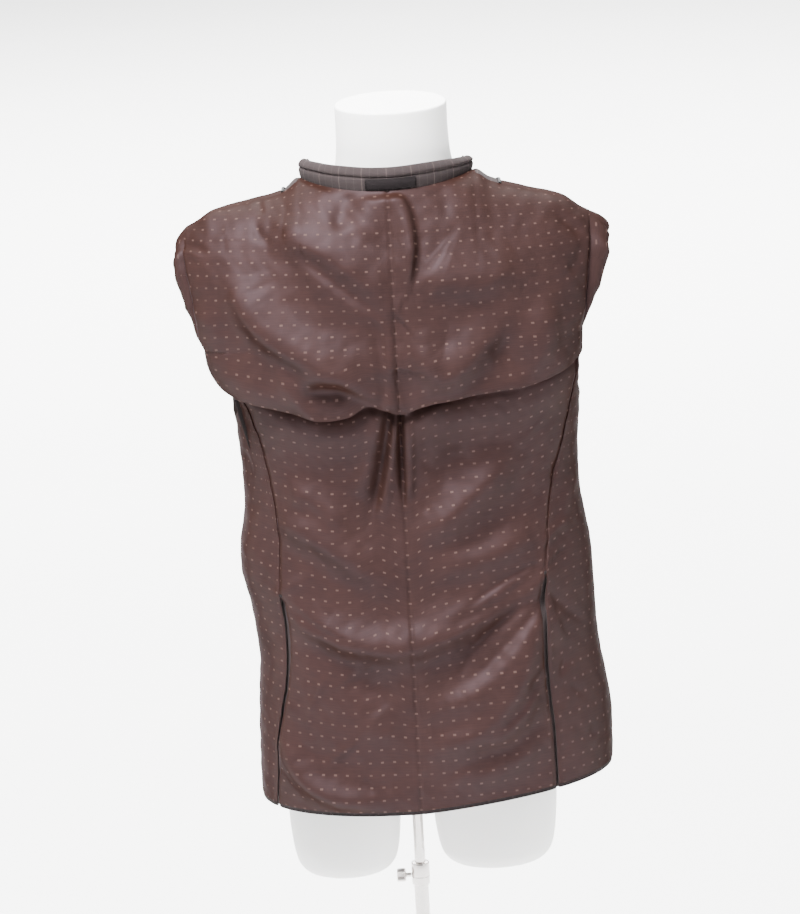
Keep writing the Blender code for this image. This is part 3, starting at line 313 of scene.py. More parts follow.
# The creases of the back: three points of a bend seen from behind, the half width on its left and
# right as one walks along it, the lift, negative for a trough, and what is left of it at each end.
BACK_CREASES = table(
    "x1      z1     x2      z2     x3      z3     left   right  lift     start end",
    # the ease pleat at the centre seam, and the puckers of the neck seam
    (0.013, 1.466, 0.028, 1.423, 0.016, 1.363, 0.0053, 0.0172, 0.0106, 1.0, 0.2),
    (0.018, 1.459, 0.032, 1.418, 0.024, 1.362, 0.0069, 0.0046, -0.0024, 0.8, 0.0),
    (0.026, 1.418, 0.034, 1.403, 0.045, 1.387, 0.0069, 0.0052, 0.0015, 0.2, 0.0),
    (-0.035, 1.467, -0.047, 1.447, -0.046, 1.426, 0.0108, 0.0072, -0.0032, 1.0, 0.0),
    (-0.061, 1.475, -0.066, 1.460, -0.060, 1.444, 0.0069, 0.0057, 0.0011, 1.0, 0.0),
    (-0.013, 1.466, -0.016, 1.446, -0.021, 1.410, 0.0185, 0.0132, 0.0054, 0.6, 0.0),
    (0.062, 1.463, 0.066, 1.448, 0.060, 1.433, 0.0069, 0.0057, -0.0012, 1.0, 0.0),
    # three long ridges that sweep from the left armhole and shoulder towards the centre seam
    (-0.139, 1.423, -0.065, 1.409, 0.000, 1.351, 0.0317, 0.0145, 0.0134, 0.1, 0.3),
    (-0.167, 1.403, -0.123, 1.320, -0.010, 1.287, 0.0264, 0.0139, 0.0151, 0.1, 0.4),
    (-0.192, 1.373, -0.183, 1.282, -0.086, 1.269, 0.0211, 0.0145, 0.0124, 0.1, 0.3),
    (-0.111, 1.417, -0.054, 1.366, -0.011, 1.335, 0.0059, 0.0158, 0.0047, 0.0, 0.4),
    (-0.135, 1.440, -0.133, 1.427, -0.114, 1.415, 0.0046, 0.0057, -0.0022, 0.2, 0.1),
    (-0.118, 1.435, -0.100, 1.433, -0.081, 1.433, 0.0046, 0.0052, 0.0011, 0.0, 0.0),
    (-0.109, 1.423, -0.093, 1.427, -0.077, 1.426, 0.0046, 0.0052, 0.0009, 0.0, 0.0),
    (-0.134, 1.461, -0.132, 1.452, -0.131, 1.444, 0.0040, 0.0052, -0.0017, 0.1, 0.1),
    # the narrow gathers beside the centre seam
    (-0.025, 1.349, -0.012, 1.312, -0.011, 1.263, 0.0057, 0.0075, -0.0030, 0.2, 0.8),
    (0.002, 1.364, -0.002, 1.311, -0.002, 1.245, 0.0063, 0.0069, 0.0024, 0.1, 0.9),
    (-0.012, 1.403, -0.011, 1.364, -0.016, 1.318, 0.0108, 0.0108, 0.0029, 0.0, 0.0),
    # the pouch left of the centre, with its hollow and its lower rim
    (-0.103, 1.272, -0.065, 1.284, 0.003, 1.254, 0.0096, 0.0072, 0.0065, 0.1, 0.6),
    (-0.095, 1.265, -0.070, 1.272, -0.033, 1.268, 0.0057, 0.0069, -0.0050, 0.1, 0.1),
    (-0.094, 1.257, -0.061, 1.242, -0.004, 1.254, 0.0069, 0.0057, 0.0033, 0.2, 0.6),
    (-0.126, 1.299, -0.103, 1.272, -0.075, 1.241, 0.0072, 0.0096, 0.0047, 0.1, 0.4),
    (-0.178, 1.280, -0.151, 1.269, -0.111, 1.257, 0.0080, 0.0080, -0.0020, 0.1, 0.1),
    # broad soft waves of the right half
    (0.028, 1.401, 0.079, 1.371, 0.158, 1.391, 0.0317, 0.0172, 0.0106, 0.1, 0.1),
    (0.024, 1.349, 0.053, 1.283, 0.128, 1.343, 0.0211, 0.0145, 0.0121, 0.2, 0.2),
    (0.162, 1.361, 0.155, 1.298, 0.110, 1.257, 0.0158, 0.0224, 0.0103, 0.1, 0.3),
    (0.103, 1.310, 0.125, 1.289, 0.162, 1.272, 0.0172, 0.0119, -0.0064, 0.1, 0.1),
    (0.028, 1.227, 0.073, 1.261, 0.134, 1.260, 0.0108, 0.0084, 0.0047, 0.5, 0.2),
    (0.030, 1.243, 0.046, 1.248, 0.068, 1.249, 0.0057, 0.0063, -0.0050, 0.2, 0.1),
    (0.137, 1.253, 0.169, 1.277, 0.181, 1.301, 0.0096, 0.0108, 0.0037, 0.4, 0.0),
    (0.125, 1.409, 0.120, 1.384, 0.122, 1.360, 0.0150, 0.0110, 0.0018, 0.0, 0.0),
    # pulls and nicks beside the armholes
    (0.175, 1.439, 0.202, 1.415, 0.215, 1.404, 0.0063, 0.0057, -0.0032, 0.1, 0.6),
    (0.196, 1.428, 0.212, 1.414, 0.217, 1.390, 0.0057, 0.0069, 0.0026, 0.1, 0.6),
    (0.212, 1.391, 0.203, 1.377, 0.193, 1.368, 0.0057, 0.0069, -0.0020, 0.5, 0.0),
    (0.218, 1.336, 0.207, 1.323, 0.179, 1.316, 0.0080, 0.0069, 0.0020, 0.4, 0.0),
    (-0.225, 1.415, -0.203, 1.412, -0.176, 1.404, 0.0057, 0.0052, -0.0024, 0.8, 0.0),
    (-0.224, 1.405, -0.200, 1.407, -0.172, 1.407, 0.0063, 0.0057, 0.0020, 0.8, 0.0),
    (-0.226, 1.425, -0.201, 1.440, -0.166, 1.451, 0.0057, 0.0069, 0.0022, 0.8, 0.0),
    (-0.222, 1.381, -0.215, 1.353, -0.206, 1.319, 0.0057, 0.0080, -0.0021, 0.6, 0.1),
    (-0.216, 1.360, -0.204, 1.343, -0.170, 1.331, 0.0069, 0.0069, 0.0017, 0.5, 0.0),
    # the gathers that the fold pulls together below its point
    (-0.005, 1.236, -0.020, 1.163, -0.035, 1.111, 0.0050, 0.0070, -0.0064, 1.0, 0.1),
    (0.001, 1.236, -0.010, 1.165, -0.022, 1.114, 0.0070, 0.0055, 0.0048, 1.0, 0.0),
    (-0.019, 1.236, -0.035, 1.174, -0.048, 1.139, 0.0100, 0.0080, 0.0050, 0.8, 0.0),
    (0.006, 1.236, 0.004, 1.175, 0.004, 1.128, 0.0032, 0.0040, -0.0062, 1.0, 0.3),
    (0.014, 1.236, 0.013, 1.171, 0.008, 1.130, 0.0055, 0.0080, 0.0044, 1.0, 0.1),
    (0.027, 1.236, 0.032, 1.188, 0.029, 1.163, 0.0069, 0.0069, -0.0016, 0.8, 0.0),
    (0.028, 1.144, 0.029, 1.130, 0.025, 1.117, 0.0034, 0.0052, -0.0015, 0.0, 0.0),
    # diagonals from both sides towards the centre seam
    (0.131, 1.188, 0.071, 1.132, 0.011, 1.083, 0.0251, 0.0174, 0.0148, 0.1, 0.2),
    (0.074, 1.192, 0.056, 1.172, 0.035, 1.149, 0.0132, 0.0174, -0.0062, 0.1, 0.1),
    (0.151, 1.101, 0.091, 1.068, 0.013, 1.058, 0.0185, 0.0174, 0.0100, 0.2, 0.1),
    (-0.140, 1.117, -0.083, 1.092, 0.004, 1.024, 0.0238, 0.0174, 0.0137, 0.1, 0.1),
    (-0.131, 1.143, -0.087, 1.137, -0.050, 1.088, 0.0172, 0.0145, 0.0083, 0.1, 0.0),
    (-0.077, 1.147, -0.062, 1.109, -0.040, 1.077, 0.0046, 0.0069, 0.0016, 0.0, 0.0),
    (-0.049, 1.167, -0.058, 1.148, -0.069, 1.133, 0.0041, 0.0057, 0.0011, 0.0, 0.0),
    (-0.133, 1.035, -0.117, 1.046, -0.085, 1.061, 0.0069, 0.0069, 0.0020, 0.8, 0.0),
    # swags between the tops of the vents, one below the other
    (-0.131, 1.032, -0.020, 0.972, 0.145, 1.046, 0.0260, 0.0165, 0.0149, 0.3, 0.4),
    (0.026, 0.996, 0.092, 1.014, 0.144, 1.047, 0.0063, 0.0080, -0.0030, 0.1, 0.7),
    (-0.109, 0.999, -0.070, 0.969, 0.001, 0.963, 0.0106, 0.0204, -0.0069, 0.1, 0.1),
    (0.144, 1.026, 0.092, 0.934, -0.004, 0.896, 0.0260, 0.0165, 0.0143, 0.4, 0.0),
    (0.144, 1.016, 0.080, 0.977, 0.052, 0.935, 0.0057, 0.0069, -0.0026, 0.6, 0.1),
    (0.142, 0.982, 0.085, 0.886, -0.005, 0.862, 0.0238, 0.0174, 0.0156, 0.3, 0.0),
    (0.141, 0.926, 0.113, 0.882, 0.070, 0.856, 0.0158, 0.0131, 0.0074, 0.2, 0.0),
    (0.147, 0.875, 0.096, 0.835, 0.017, 0.825, 0.0172, 0.0145, 0.0074, 0.2, 0.0),
    (0.140, 1.052, 0.100, 1.036, 0.052, 1.004, 0.0040, 0.0050, -0.0026, 0.6, 0.0),
    (0.142, 1.010, 0.112, 0.975, 0.060, 0.926, 0.0045, 0.0055, -0.0030, 0.5, 0.0),
    (-0.128, 1.024, -0.090, 0.996, -0.050, 0.982, 0.0040, 0.0055, -0.0024, 0.5, 0.0),
    (0.146, 0.950, 0.120, 0.905, 0.085, 0.872, 0.0060, 0.0070, -0.0026, 0.3, 0.0),
    # thin creases and the slack of the lining near the hem
    (-0.081, 0.955, -0.104, 0.919, -0.116, 0.879, 0.0037, 0.0052, 0.0018, 0.1, 0.2),
    (-0.052, 0.876, -0.076, 0.860, -0.102, 0.838, 0.0037, 0.0058, 0.0024, 0.0, 0.2),
    (-0.136, 0.899, -0.113, 0.819, -0.008, 0.805, 0.0145, 0.0131, 0.0114, 0.2, 0.1),
    (-0.117, 0.872, -0.097, 0.852, -0.030, 0.838, 0.0110, 0.0130, -0.0022, 0.1, 0.1),
    (-0.059, 0.831, -0.051, 0.821, -0.044, 0.811, 0.0034, 0.0052, -0.0018, 0.0, 0.0),
    (-0.039, 0.827, -0.033, 0.819, -0.026, 0.813, 0.0034, 0.0052, -0.0016, 0.0, 0.0),
    (-0.064, 0.951, -0.045, 0.933, -0.004, 0.928, 0.0145, 0.0160, -0.0062, 0.0, 0.0),
    (-0.053, 0.902, -0.037, 0.884, -0.008, 0.872, 0.0220, 0.0180, 0.0040, 0.0, 0.1),
    (0.005, 0.857, 0.005, 0.829, -0.003, 0.808, 0.0069, 0.0057, 0.0015, 0.0, 0.3),
)

# The same for the right side body and the side under each arm, seen from behind.
SIDE_CREASES = table(
    "x1      z1     x2      z2     x3      z3     left   right  lift     start end",
    (0.173, 1.165, 0.169, 1.149, 0.166, 1.137, 0.0029, 0.0039, -0.0018, 0.1, 0.1),
    (0.190, 1.092, 0.166, 1.086, 0.146, 1.066, 0.0052, 0.0065, 0.0030, 0.3, 0.2),
    (0.150, 1.028, 0.171, 1.002, 0.200, 0.972, 0.0036, 0.0052, -0.0023, 0.7, 0.1),
    (0.152, 1.020, 0.160, 0.985, 0.178, 0.950, 0.0052, 0.0078, 0.0023, 0.5, 0.0),
    (0.170, 0.948, 0.168, 0.935, 0.164, 0.923, 0.0029, 0.0039, -0.0018, 0.1, 0.1),
    (0.175, 0.916, 0.183, 0.906, 0.193, 0.897, 0.0026, 0.0039, -0.0017, 0.1, 0.1),
    (0.196, 0.862, 0.199, 0.854, 0.202, 0.844, 0.0026, 0.0039, -0.0017, 0.1, 0.1),
    (0.196, 1.150, 0.184, 1.120, 0.180, 1.090, 0.0078, 0.0091, 0.0025, 0.1, 0.1),
    (-0.150, 1.130, -0.160, 1.095, -0.162, 1.050, 0.0078, 0.0091, 0.0027, 0.1, 0.1),
    (-0.146, 0.985, -0.158, 0.955, -0.160, 0.905, 0.0065, 0.0078, -0.0020, 0.2, 0.1),
    (-0.166, 1.190, -0.164, 1.172, -0.160, 1.150, 0.0052, 0.0065, -0.0025, 0.2, 0.1),
    (-0.175, 1.100, -0.168, 1.060, -0.172, 1.010, 0.0091, 0.0104, 0.0025, 0.1, 0.1),
)

# Calmer creases of the fronts, seen from the front, at +Y.
FRONT_CREASES = table(
    "x1      z1     x2      z2     x3      z3     left   right  lift     start end",
    (-0.196, 1.390, -0.170, 1.330, -0.110, 1.260, 0.0120, 0.0160, 0.0050, 0.2, 0.1),
    (-0.190, 1.330, -0.160, 1.260, -0.100, 1.190, 0.0100, 0.0120, -0.0039, 0.2, 0.0),
    (-0.175, 1.250, -0.130, 1.190, -0.050, 1.120, 0.0100, 0.0140, 0.0048, 0.1, 0.5),
    (-0.170, 1.150, -0.130, 1.120, -0.060, 1.100, 0.0080, 0.0100, -0.0031, 0.1, 0.3),
    (-0.165, 1.060, -0.120, 1.010, -0.070, 0.900, 0.0110, 0.0140, 0.0042, 0.1, 0.0),
    (-0.160, 0.960, -0.130, 0.900, -0.110, 0.830, 0.0090, 0.0110, -0.0031, 0.1, 0.1),
    (0.205, 1.390, 0.180, 1.340, 0.110, 1.270, 0.0160, 0.0120, 0.0045, 0.2, 0.1),
    (0.196, 1.300, 0.165, 1.250, 0.090, 1.190, 0.0120, 0.0100, -0.0036, 0.1, 0.1),
    (0.190, 1.240, 0.140, 1.170, 0.040, 1.110, 0.0140, 0.0100, 0.0042, 0.1, 0.4),
    (0.200, 1.090, 0.160, 1.040, 0.110, 0.940, 0.0130, 0.0110, 0.0042, 0.1, 0.0),
    (0.210, 0.990, 0.170, 0.920, 0.150, 0.850, 0.0100, 0.0090, -0.0031, 0.1, 0.1),
    (0.205, 0.900, 0.160, 0.850, 0.090, 0.825, 0.0090, 0.0070, 0.0028, 0.1, 0.0),
)


def smooth(at, knots, values):
    """A cubic curve through a table's rows, level at both ends."""
    slope = np.zeros_like(values)
    slope[1:-1] = (values[2:] - values[:-2]) / (knots[2:] - knots[:-2])
    i = np.clip(np.searchsorted(knots, at, side="right") - 1, 0, len(knots) - 2)
    step = knots[i + 1] - knots[i]
    t = np.clip((at - knots[i]) / step, 0, 1)
    rise = t * t * (3 - 2 * t)
    return (
        (1 - rise) * values[i]
        + rise * values[i + 1]
        + (t - 1) ** 2 * t * step * slope[i]
        + (t - 1) * t * t * step * slope[i + 1]
    )


def ease(at):
    """0 below 0, 1 above 1, and a smooth step between."""
    t = np.clip(at, 0, 1)
    return t * t * (3 - 2 * t)


def unit(vectors):
    """Each vector divided by its length."""
    return vectors / np.linalg.norm(vectors, axis=-1, keepdims=True)


def length_along(points, axis):
    """The way from the first point along one axis of a grid: the sum of the steps so far."""
    steps = np.linalg.norm(np.diff(points, axis=axis), axis=-1)
    start = np.zeros_like(np.take(steps, [0], axis=axis))
    return np.concatenate([start, np.cumsum(steps, axis=axis)], axis=axis)


def bell(at, shape):
    """A bell curve of share * exp(-d*d), where d is the distance from its middle over its reach."""
    share, middle, reach = shape
    return share * np.exp(-(((at - middle) / reach) ** 2))


def fold_rise(angle):
    """How far the fold across the back has climbed at an angle."""
    return smooth(angle, FOLD["angle"], FOLD["rise"])


def hem_line(angle):
    """The height of the hem, which hitches up a little on the right."""
    from_side = np.clip(np.asarray(angle, float) / 90, 0, 2) - 1
    return HEM_Z + HEM_RISE_RIGHT * (1 - from_side**2)


def ring(angle, z):
    """A point on the coat's horizontal section: a superellipse with its own reach on each side."""
    turn = np.radians(angle)
    power = 2 / SQUARENESS
    wide = np.where(
        np.sin(turn) < 0,
        smooth(z, SECTIONS["z"], SECTIONS["left"]) + CENTRE_X,
        smooth(z, SECTIONS["z"], SECTIONS["right"]) - CENTRE_X,
    )
    deep = np.where(
        np.cos(turn) > 0,
        smooth(z, SECTIONS["z"], SECTIONS["back"]),
        smooth(z, SECTIONS["z"], SECTIONS["front"]),
    )
    x = CENTRE_X + wide * np.sign(np.sin(turn)) * np.abs(np.sin(turn)) ** power
    y = -deep * np.sign(np.cos(turn)) * np.abs(np.cos(turn)) ** power
    return x, y


def fan(angle):
    """How much wider the columns stand at the shoulder than at the chest."""
    turn = np.asarray(angle, float)
    side = np.where(np.sin(np.radians(turn)) < 0, LEFT, RIGHT)
    at_back = np.abs(turn) < 90
    back = np.where(side < 0, SEAMS["back_left"][-1], SEAMS["back_right"][-1])
    widest = np.where(at_back, back, SEAMS["front_left"][-1])
    chest_x, _ = ring(side * widest, CHEST_Z)
    return SHOULDER_TIP / np.abs(chest_x - CENTRE_X)


def top_point(angle):
    """The neckline near the centre, and the shoulder seam further out."""
    chest_x, _ = ring(angle, CHEST_Z)
    out = (chest_x - CENTRE_X) * fan(angle)
    reach = np.abs(out)
    inside = np.clip(reach / NECK_HALF_WIDTH, 0, 1)
    bow = (1 - inside**2) ** NECK_BOW
    at_back = np.abs(np.asarray(angle, float)) < 90
    along = np.clip((reach - NECK_HALF_WIDTH) / (SHOULDER_TIP - NECK_HALF_WIDTH), 0, 1)
    y = SHOULDER_Y[0] + (SHOULDER_Y[1] - SHOULDER_Y[0]) * along
    y = y + np.where(at_back, -NECK_BACK_DEPTH, NECK_FRONT_DEPTH) * bow
    seam = np.where(
        out < 0,
        smooth(reach, SHOULDER["x"], SHOULDER["left"]),
        smooth(reach, SHOULDER["x"], SHOULDER["right"]),
    )
    z = seam - np.where(at_back, seam - NECK_BACK_Z, NECK_FRONT_DROP) * bow
    turn = TURN_AT_NECK + (TURN_AT_SHOULDER - TURN_AT_NECK) * ease(inside)
    return CENTRE_X + out, y, z, np.radians(turn)


def plain(angle, level):
    """The coat's surface with no folds: up the section rings to the chest, then over to the shoulder."""
    angle, level = np.broadcast_arrays(np.asarray(angle, float), np.asarray(level, float))
    hem, fold = hem_line(angle), FOLD_Z + fold_rise(angle)
    low = hem + (fold - hem) * np.clip(level / FOLD_LEVEL, 0, 1)
    low = low + (CHEST_Z - fold) * np.clip((level - FOLD_LEVEL) / (1 - FOLD_LEVEL), 0, 1)
    x, y = ring(angle, low)
    top_x, top_y, top_z, turn = top_point(angle)
    above = np.clip(level - 1, 0, 1)
    lean = turn * above
    inwards = (1 - np.cos(lean)) / (1 - np.cos(turn))
    upwards = np.sin(lean) / np.sin(turn)
    widening = 1 - (1 - above) ** WIDENING
    near_arm = ease((np.abs(x - CENTRE_X) - 0.12) / 0.07)
    swell = np.where(x < CENTRE_X, ARM_SWELL[LEFT], ARM_SWELL[RIGHT]) * near_arm
    swell = swell * np.sin(np.pi * above**0.75) * np.sign(x - CENTRE_X)
    return np.stack(
        [x + (top_x - x) * widening + swell, y + (top_y - y) * inwards, low + (top_z - CHEST_Z) * upwards], -1
    )


def plain_normal(angle, level):
    """The outward normal of the plain surface, which has no lean on the shoulder seam."""
    step_a, step_l = 0.5, 0.004
    level = np.asarray(level, float)
    low = np.minimum(np.maximum(level - step_l, 0), 1.985)
    high = np.minimum(level + step_l, 1.995)
    at_seam = ease((low - 1.70) / 0.24) * ease((np.abs(plain(angle, level)[..., 0]) - 0.062) / 0.028)
    normal = np.cross(
        plain(angle + step_a, level) - plain(angle - step_a, level), plain(angle, high) - plain(angle, low)
    )
    normal[..., 1] *= 1 - at_seam
    return unit(normal)


def creased(x, z, creases):
    """The height of a table of creases at points of a view: each a soft ridge through three points.

    The distance to the bend, divided by the half width on that side, goes into a bell curve.
    """
    total = np.zeros(np.shape(x))
    steps = np.linspace(0, 1, 11)
    for row in zip(*creases.values()):
        x1, z1, x2, z2, x3, z3, left, right, lift, start, end = row
        weights = (1 - steps) * (1 - 2 * steps), 4 * steps * (1 - steps), steps * (2 * steps - 1)
        path_x = weights[0] * x1 + weights[1] * x2 + weights[2] * x3
        path_z = weights[0] * z1 + weights[1] * z2 + weights[2] * z3
        reach = 2.4 * max(left, right)
        near = (x > path_x.min() - reach) & (x < path_x.max() + reach)
        near &= (z > path_z.min() - reach) & (z < path_z.max() + reach)
        if not near.any():
            continue
        px, pz = x[near], z[near]
        best, along, hand = np.full(px.shape, 9.0), np.zeros(px.shape), np.ones(px.shape)
        for i in range(len(steps) - 1):
            dx, dz = path_x[i + 1] - path_x[i], path_z[i + 1] - path_z[i]
            t = np.clip(((px - path_x[i]) * dx + (pz - path_z[i]) * dz) / (dx * dx + dz * dz), 0, 1)
            away = np.hypot(px - path_x[i] - t * dx, pz - path_z[i] - t * dz)
            nearer = away < best
            along = np.where(nearer, (i + t) / (len(steps) - 1), along)
            hand = np.where(nearer, dx * (pz - path_z[i]) - dz * (px - path_x[i]), hand)
            best = np.where(nearer, away, best)
        taper = (start + (1 - start) * ease(along / 0.35)) * (end + (1 - end) * ease((1 - along) / 0.35))
        total[near] += lift * taper * np.exp(-((best / np.where(hand > 0, left, right)) ** 2))
    return total


# The parts of the fold by the height over its line: the share of its reach out or down, the middle
# of the part and how far it fades.
FOLD_ROLL, FOLD_SWELL, FOLD_VALLEY = (0.72, 0.008, 0.055), (0.40, -0.027, 0.020), (0.36, -0.004, 0.006)
FOLD_LAP, FOLD_EDGE = (1.15, 0.008, 0.026), 0.011
RIPPLE = 0.00032
SEAM_BEHIND, BEHIND_STEP, BEHIND_END, BEHIND_FADE = 0.085, 0.0030, 0.118, 0.040


def body(angle, level, depth=0.0):
    """The coat's surface with its folds, moved in by depth along the plain surface's normal.

    Above the fold across the back the cloth stands out and drops over it, so that the fold laps.
    """
    angle, level = np.broadcast_arrays(np.asarray(angle, float), np.asarray(level, float))
    point = plain(angle, level)
    normal = plain_normal(angle, level)
    x, z = point[..., 0], point[..., 2]
    turn = np.abs(angle)
    above = z - FOLD_Z - fold_rise(angle)
    hang = smooth(angle, FOLD["angle"], FOLD["out"])
    out = hang * bell(np.maximum(above, FOLD_ROLL[1]), FOLD_ROLL) * ease((above + 0.001) / FOLD_EDGE)
    out = out + hang * (bell(above, FOLD_SWELL) - bell(above, FOLD_VALLEY))
    drop = smooth(angle, FOLD["angle"], FOLD["lap"]) * ease(above / FOLD_EDGE)
    drop = drop * bell(np.maximum(above, FOLD_LAP[1]), FOLD_LAP)
    at_back = ease((82 - turn) / 16)
    out = out + at_back * creased(x, z, BACK_CREASES)
    out = out + ease((turn - 36) / 12) * ease((116 - turn) / 12) * creased(x, z, SIDE_CREASES)
    out = out + ease((turn - 98) / 14) * creased(x, z, FRONT_CREASES)
    wave = np.sin(z * 210 + 2.1 * np.sin(x * 63)) * np.sin(angle * 0.33 + 1.7 * np.sin(z * 71))
    out = out + RIPPLE * (wave + 0.7 * np.sin(x * 331 + 2.3 * np.sin(z * 117)) * np.sin(z * 129 + x * 90))
    calm = ease(level / 0.02) * ease((1.995 - level) / 0.10)
    moved_out = point + normal * (out * np.maximum(calm, 0.25 * (level < 1)) - depth)[..., None]
    moved_out[..., 2] -= drop
    return moved_out


def moved(angle, level, metres):
    """The angle after going that many metres round the coat."""
    per_degree = np.linalg.norm(plain(angle + 0.5, level) - plain(angle - 0.5, level), axis=-1)
    return angle + metres / per_degree


def height(angle, level):
    """The height of a point on the plain surface."""
    return plain(angle, level)[..., 2]


def seam_angle(side, which, level):
    """The angle of a side seam. which is back or front."""
    z = np.minimum(height(np.full(np.shape(level), side * 70.0), np.minimum(level, 1.0)), CHEST_Z)
    return side * smooth(z, SEAMS["z"], SEAMS[f"{which}_{SIDE_NAMES[side]}"])


def vent_gap(side, z):
    """Half of the gap between back and side body: none above, the open vent below."""
    drop = VENT_TOP[side] - z
    opened = VENT_OPEN * ease(drop / VENT_POINT)
    opened = opened - (VENT_OPEN - VENT_AT_HEM) * ease(drop / (VENT_TOP[side] - HEM_Z))
    return opened / 2


def worked(node, link, kind, operation, *values):
    """The result of a Math or VectorMath node, from sockets and numbers in the order of its inputs."""
    step = node(kind, operation=operation)
    for socket, value in zip(step.inputs, values):
        if isinstance(value, bpy.types.NodeSocket):
            link(value, socket)
        else:
            socket.default_value = value
    return step.outputs[0]


LINING_BROWN = (0.0166, 0.0070, 0.0051)
LINING_SHADE = (0.0118, 0.0051, 0.0038)
LINING_DOT = (0.0470, 0.0275, 0.0225)
DOT_PITCH = 0.0133
DOT_HALF, DOT_SOFT = (0.118, 0.070), 0.03


def lining_finish():
    """Brown satin shot with lavender grey, with small woven dots in rows along the grain."""
    made, node, link, shader = finish_base(
        "lining_satin", LINING_BROWN, 0.62,
        Sheen_Weight=0.02, Sheen_Roughness=0.50, Sheen_Tint=(0.60, 0.52, 0.62, 1),
        IOR=1.40, Specular_IOR_Level=0.24, Specular_Tint=(0.80, 0.66, 0.78, 1),
    )
    grain = node("UVMap", uv_map="grain").outputs["UV"]
    rows = node("VectorMath", operation="SCALE", Scale=1 / DOT_PITCH)
    link(grain, rows.inputs[0])
    cell = worked(node, link, "VectorMath", "FRACTION", rows.outputs[0])
    middle = worked(node, link, "VectorMath", "SUBTRACT", cell, (0.5, 0.5, 0))
    split = node("SeparateXYZ")
    link(worked(node, link, "VectorMath", "ABSOLUTE", middle), split.inputs[0])
    across, up = (
        ramped(node, link, split.outputs[axis], half - DOT_SOFT, half + DOT_SOFT, 1, 0)
        for axis, half in zip("XY", DOT_HALF)
    )
    dot = worked(node, link, "Math", "MULTIPLY", across, up)
    chance = node("TexWhiteNoise", noise_dimensions="2D")
    link(worked(node, link, "VectorMath", "FLOOR", rows.outputs[0]), chance.inputs["Vector"])
    strength = ramped(node, link, chance.outputs["Value"], 0.0, 1.0, 0.45, 1.0)
    shown = worked(node, link, "Math", "MULTIPLY", dot, strength)
    bars = noise(node, link, grain, 900, 2.0, (0.05, 1, 1))
    cloud = noise(node, link, grain, 26, 3.0)
    slub = ramped(node, link, bars, 0.35, 0.68)
    cloudy = ramped(node, link, cloud, 0.3, 0.7, 0, 0.5)
    tone = worked(node, link, "Math", "MULTIPLY_ADD", slub, 0.5, cloudy)
    ground = mixed_colour(node, link, tone, LINING_SHADE, LINING_BROWN)
    link(mixed_colour(node, link, shown, ground, LINING_DOT), shader.inputs["Base Color"])
    link(ramped(node, link, shown, 0, 1, 0.62, 0.72), shader.inputs["Roughness"])
    grazing = node("LayerWeight", Blend=0.5).outputs["Facing"]
    link(ramped(node, link, grazing, 0.12, 0.62, 0.24, 0.01), shader.inputs["Specular IOR Level"])
    weave = noise(node, link, grain, 2600, 2.0, (0.35, 1, 1))
    first = raised(node, link, shader, weave, 0.00006, 0.55)
    raised(node, link, shader, shown, 0.00008, 0.5, first)
    return made


WOOL_GROUND = (0.0262, 0.0198, 0.0202)
WOOL_SHADE = (0.0190, 0.0145, 0.0147)
WOOL_STRIPE = (0.0480, 0.0360, 0.0345)
WOOL_FINE_STRIPE = (0.0320, 0.0250, 0.0248)
STRIPE_PITCH, FINE_STRIPES = 0.0270, 3
STRIPE_HALF, FINE_HALF = 0.00060, 0.00045


def wool_finish(name, painted_shade_scale):
    """Matt grey-brown worsted with pale pinstripes along the grain and finer ones between them.
    painted_shade_scale scales all its colours: below 1 it gives a darker copy of the same wool, which is
    painted shade.
    """
    ground_tone, shade_tone, stripe_tone, fine_tone = (
        tuple(painted_shade_scale * part for part in tone)
        for tone in (WOOL_GROUND, WOOL_SHADE, WOOL_STRIPE, WOOL_FINE_STRIPE)
    )
    made, node, link, shader = finish_base(
        name, ground_tone, 0.88,
        Sheen_Weight=0.03, Sheen_Roughness=0.6, Sheen_Tint=(0.85, 0.80, 0.80, 1), Specular_IOR_Level=0.06,
    )
    grain = node("UVMap", uv_map="grain").outputs["UV"]
    split = node("SeparateXYZ")
    link(grain, split.inputs[0])
    thread = noise(node, link, grain, 1700, 2.0, (1, 0.6, 1))
    ground = mixed_colour(node, link, ramped(node, link, thread, 0.35, 0.65), shade_tone, ground_tone)
    broken = ramped(node, link, noise(node, link, grain, 2400, 1.0, (0.2, 1, 1)), 0.30, 0.60, 0.60, 0.90)

    def stripes(pitch, half):
        turns = worked(node, link, "Math", "MULTIPLY", split.outputs["X"], 1 / pitch)
        wrap = worked(node, link, "Math", "PINGPONG", turns, 0.5)
        line = ramped(node, link, wrap, half / pitch * 0.5, half / pitch * 1.3, 1, 0)
        return worked(node, link, "Math", "MULTIPLY", line, broken)

    fine = stripes(STRIPE_PITCH / FINE_STRIPES, FINE_HALF)
    ground = mixed_colour(node, link, fine, ground, fine_tone)
    colour = mixed_colour(node, link, stripes(STRIPE_PITCH, STRIPE_HALF), ground, stripe_tone)
    link(colour, shader.inputs["Base Color"])
    nap = noise(node, link, grain, 900, 3.0)
    first = raised(node, link, shader, thread, 0.00012, 0.6)
    raised(node, link, shader, nap, 0.00010, 0.4, first)
    return made


# hem_wool_painted_shade is the striped wool darkened to 0.42. This is painted shade, used for the hem band,
# the inner faces and the edges of the lining pieces.
LINING, WOOL, PAINTED_SHADE_WOOL = lining_finish(), wool_finish("striped_wool", 1.0), wool_finish("hem_wool_painted_shade", 0.42)
HEM_TURNING = 0.0042
LINING_SET_IN = 0.0009


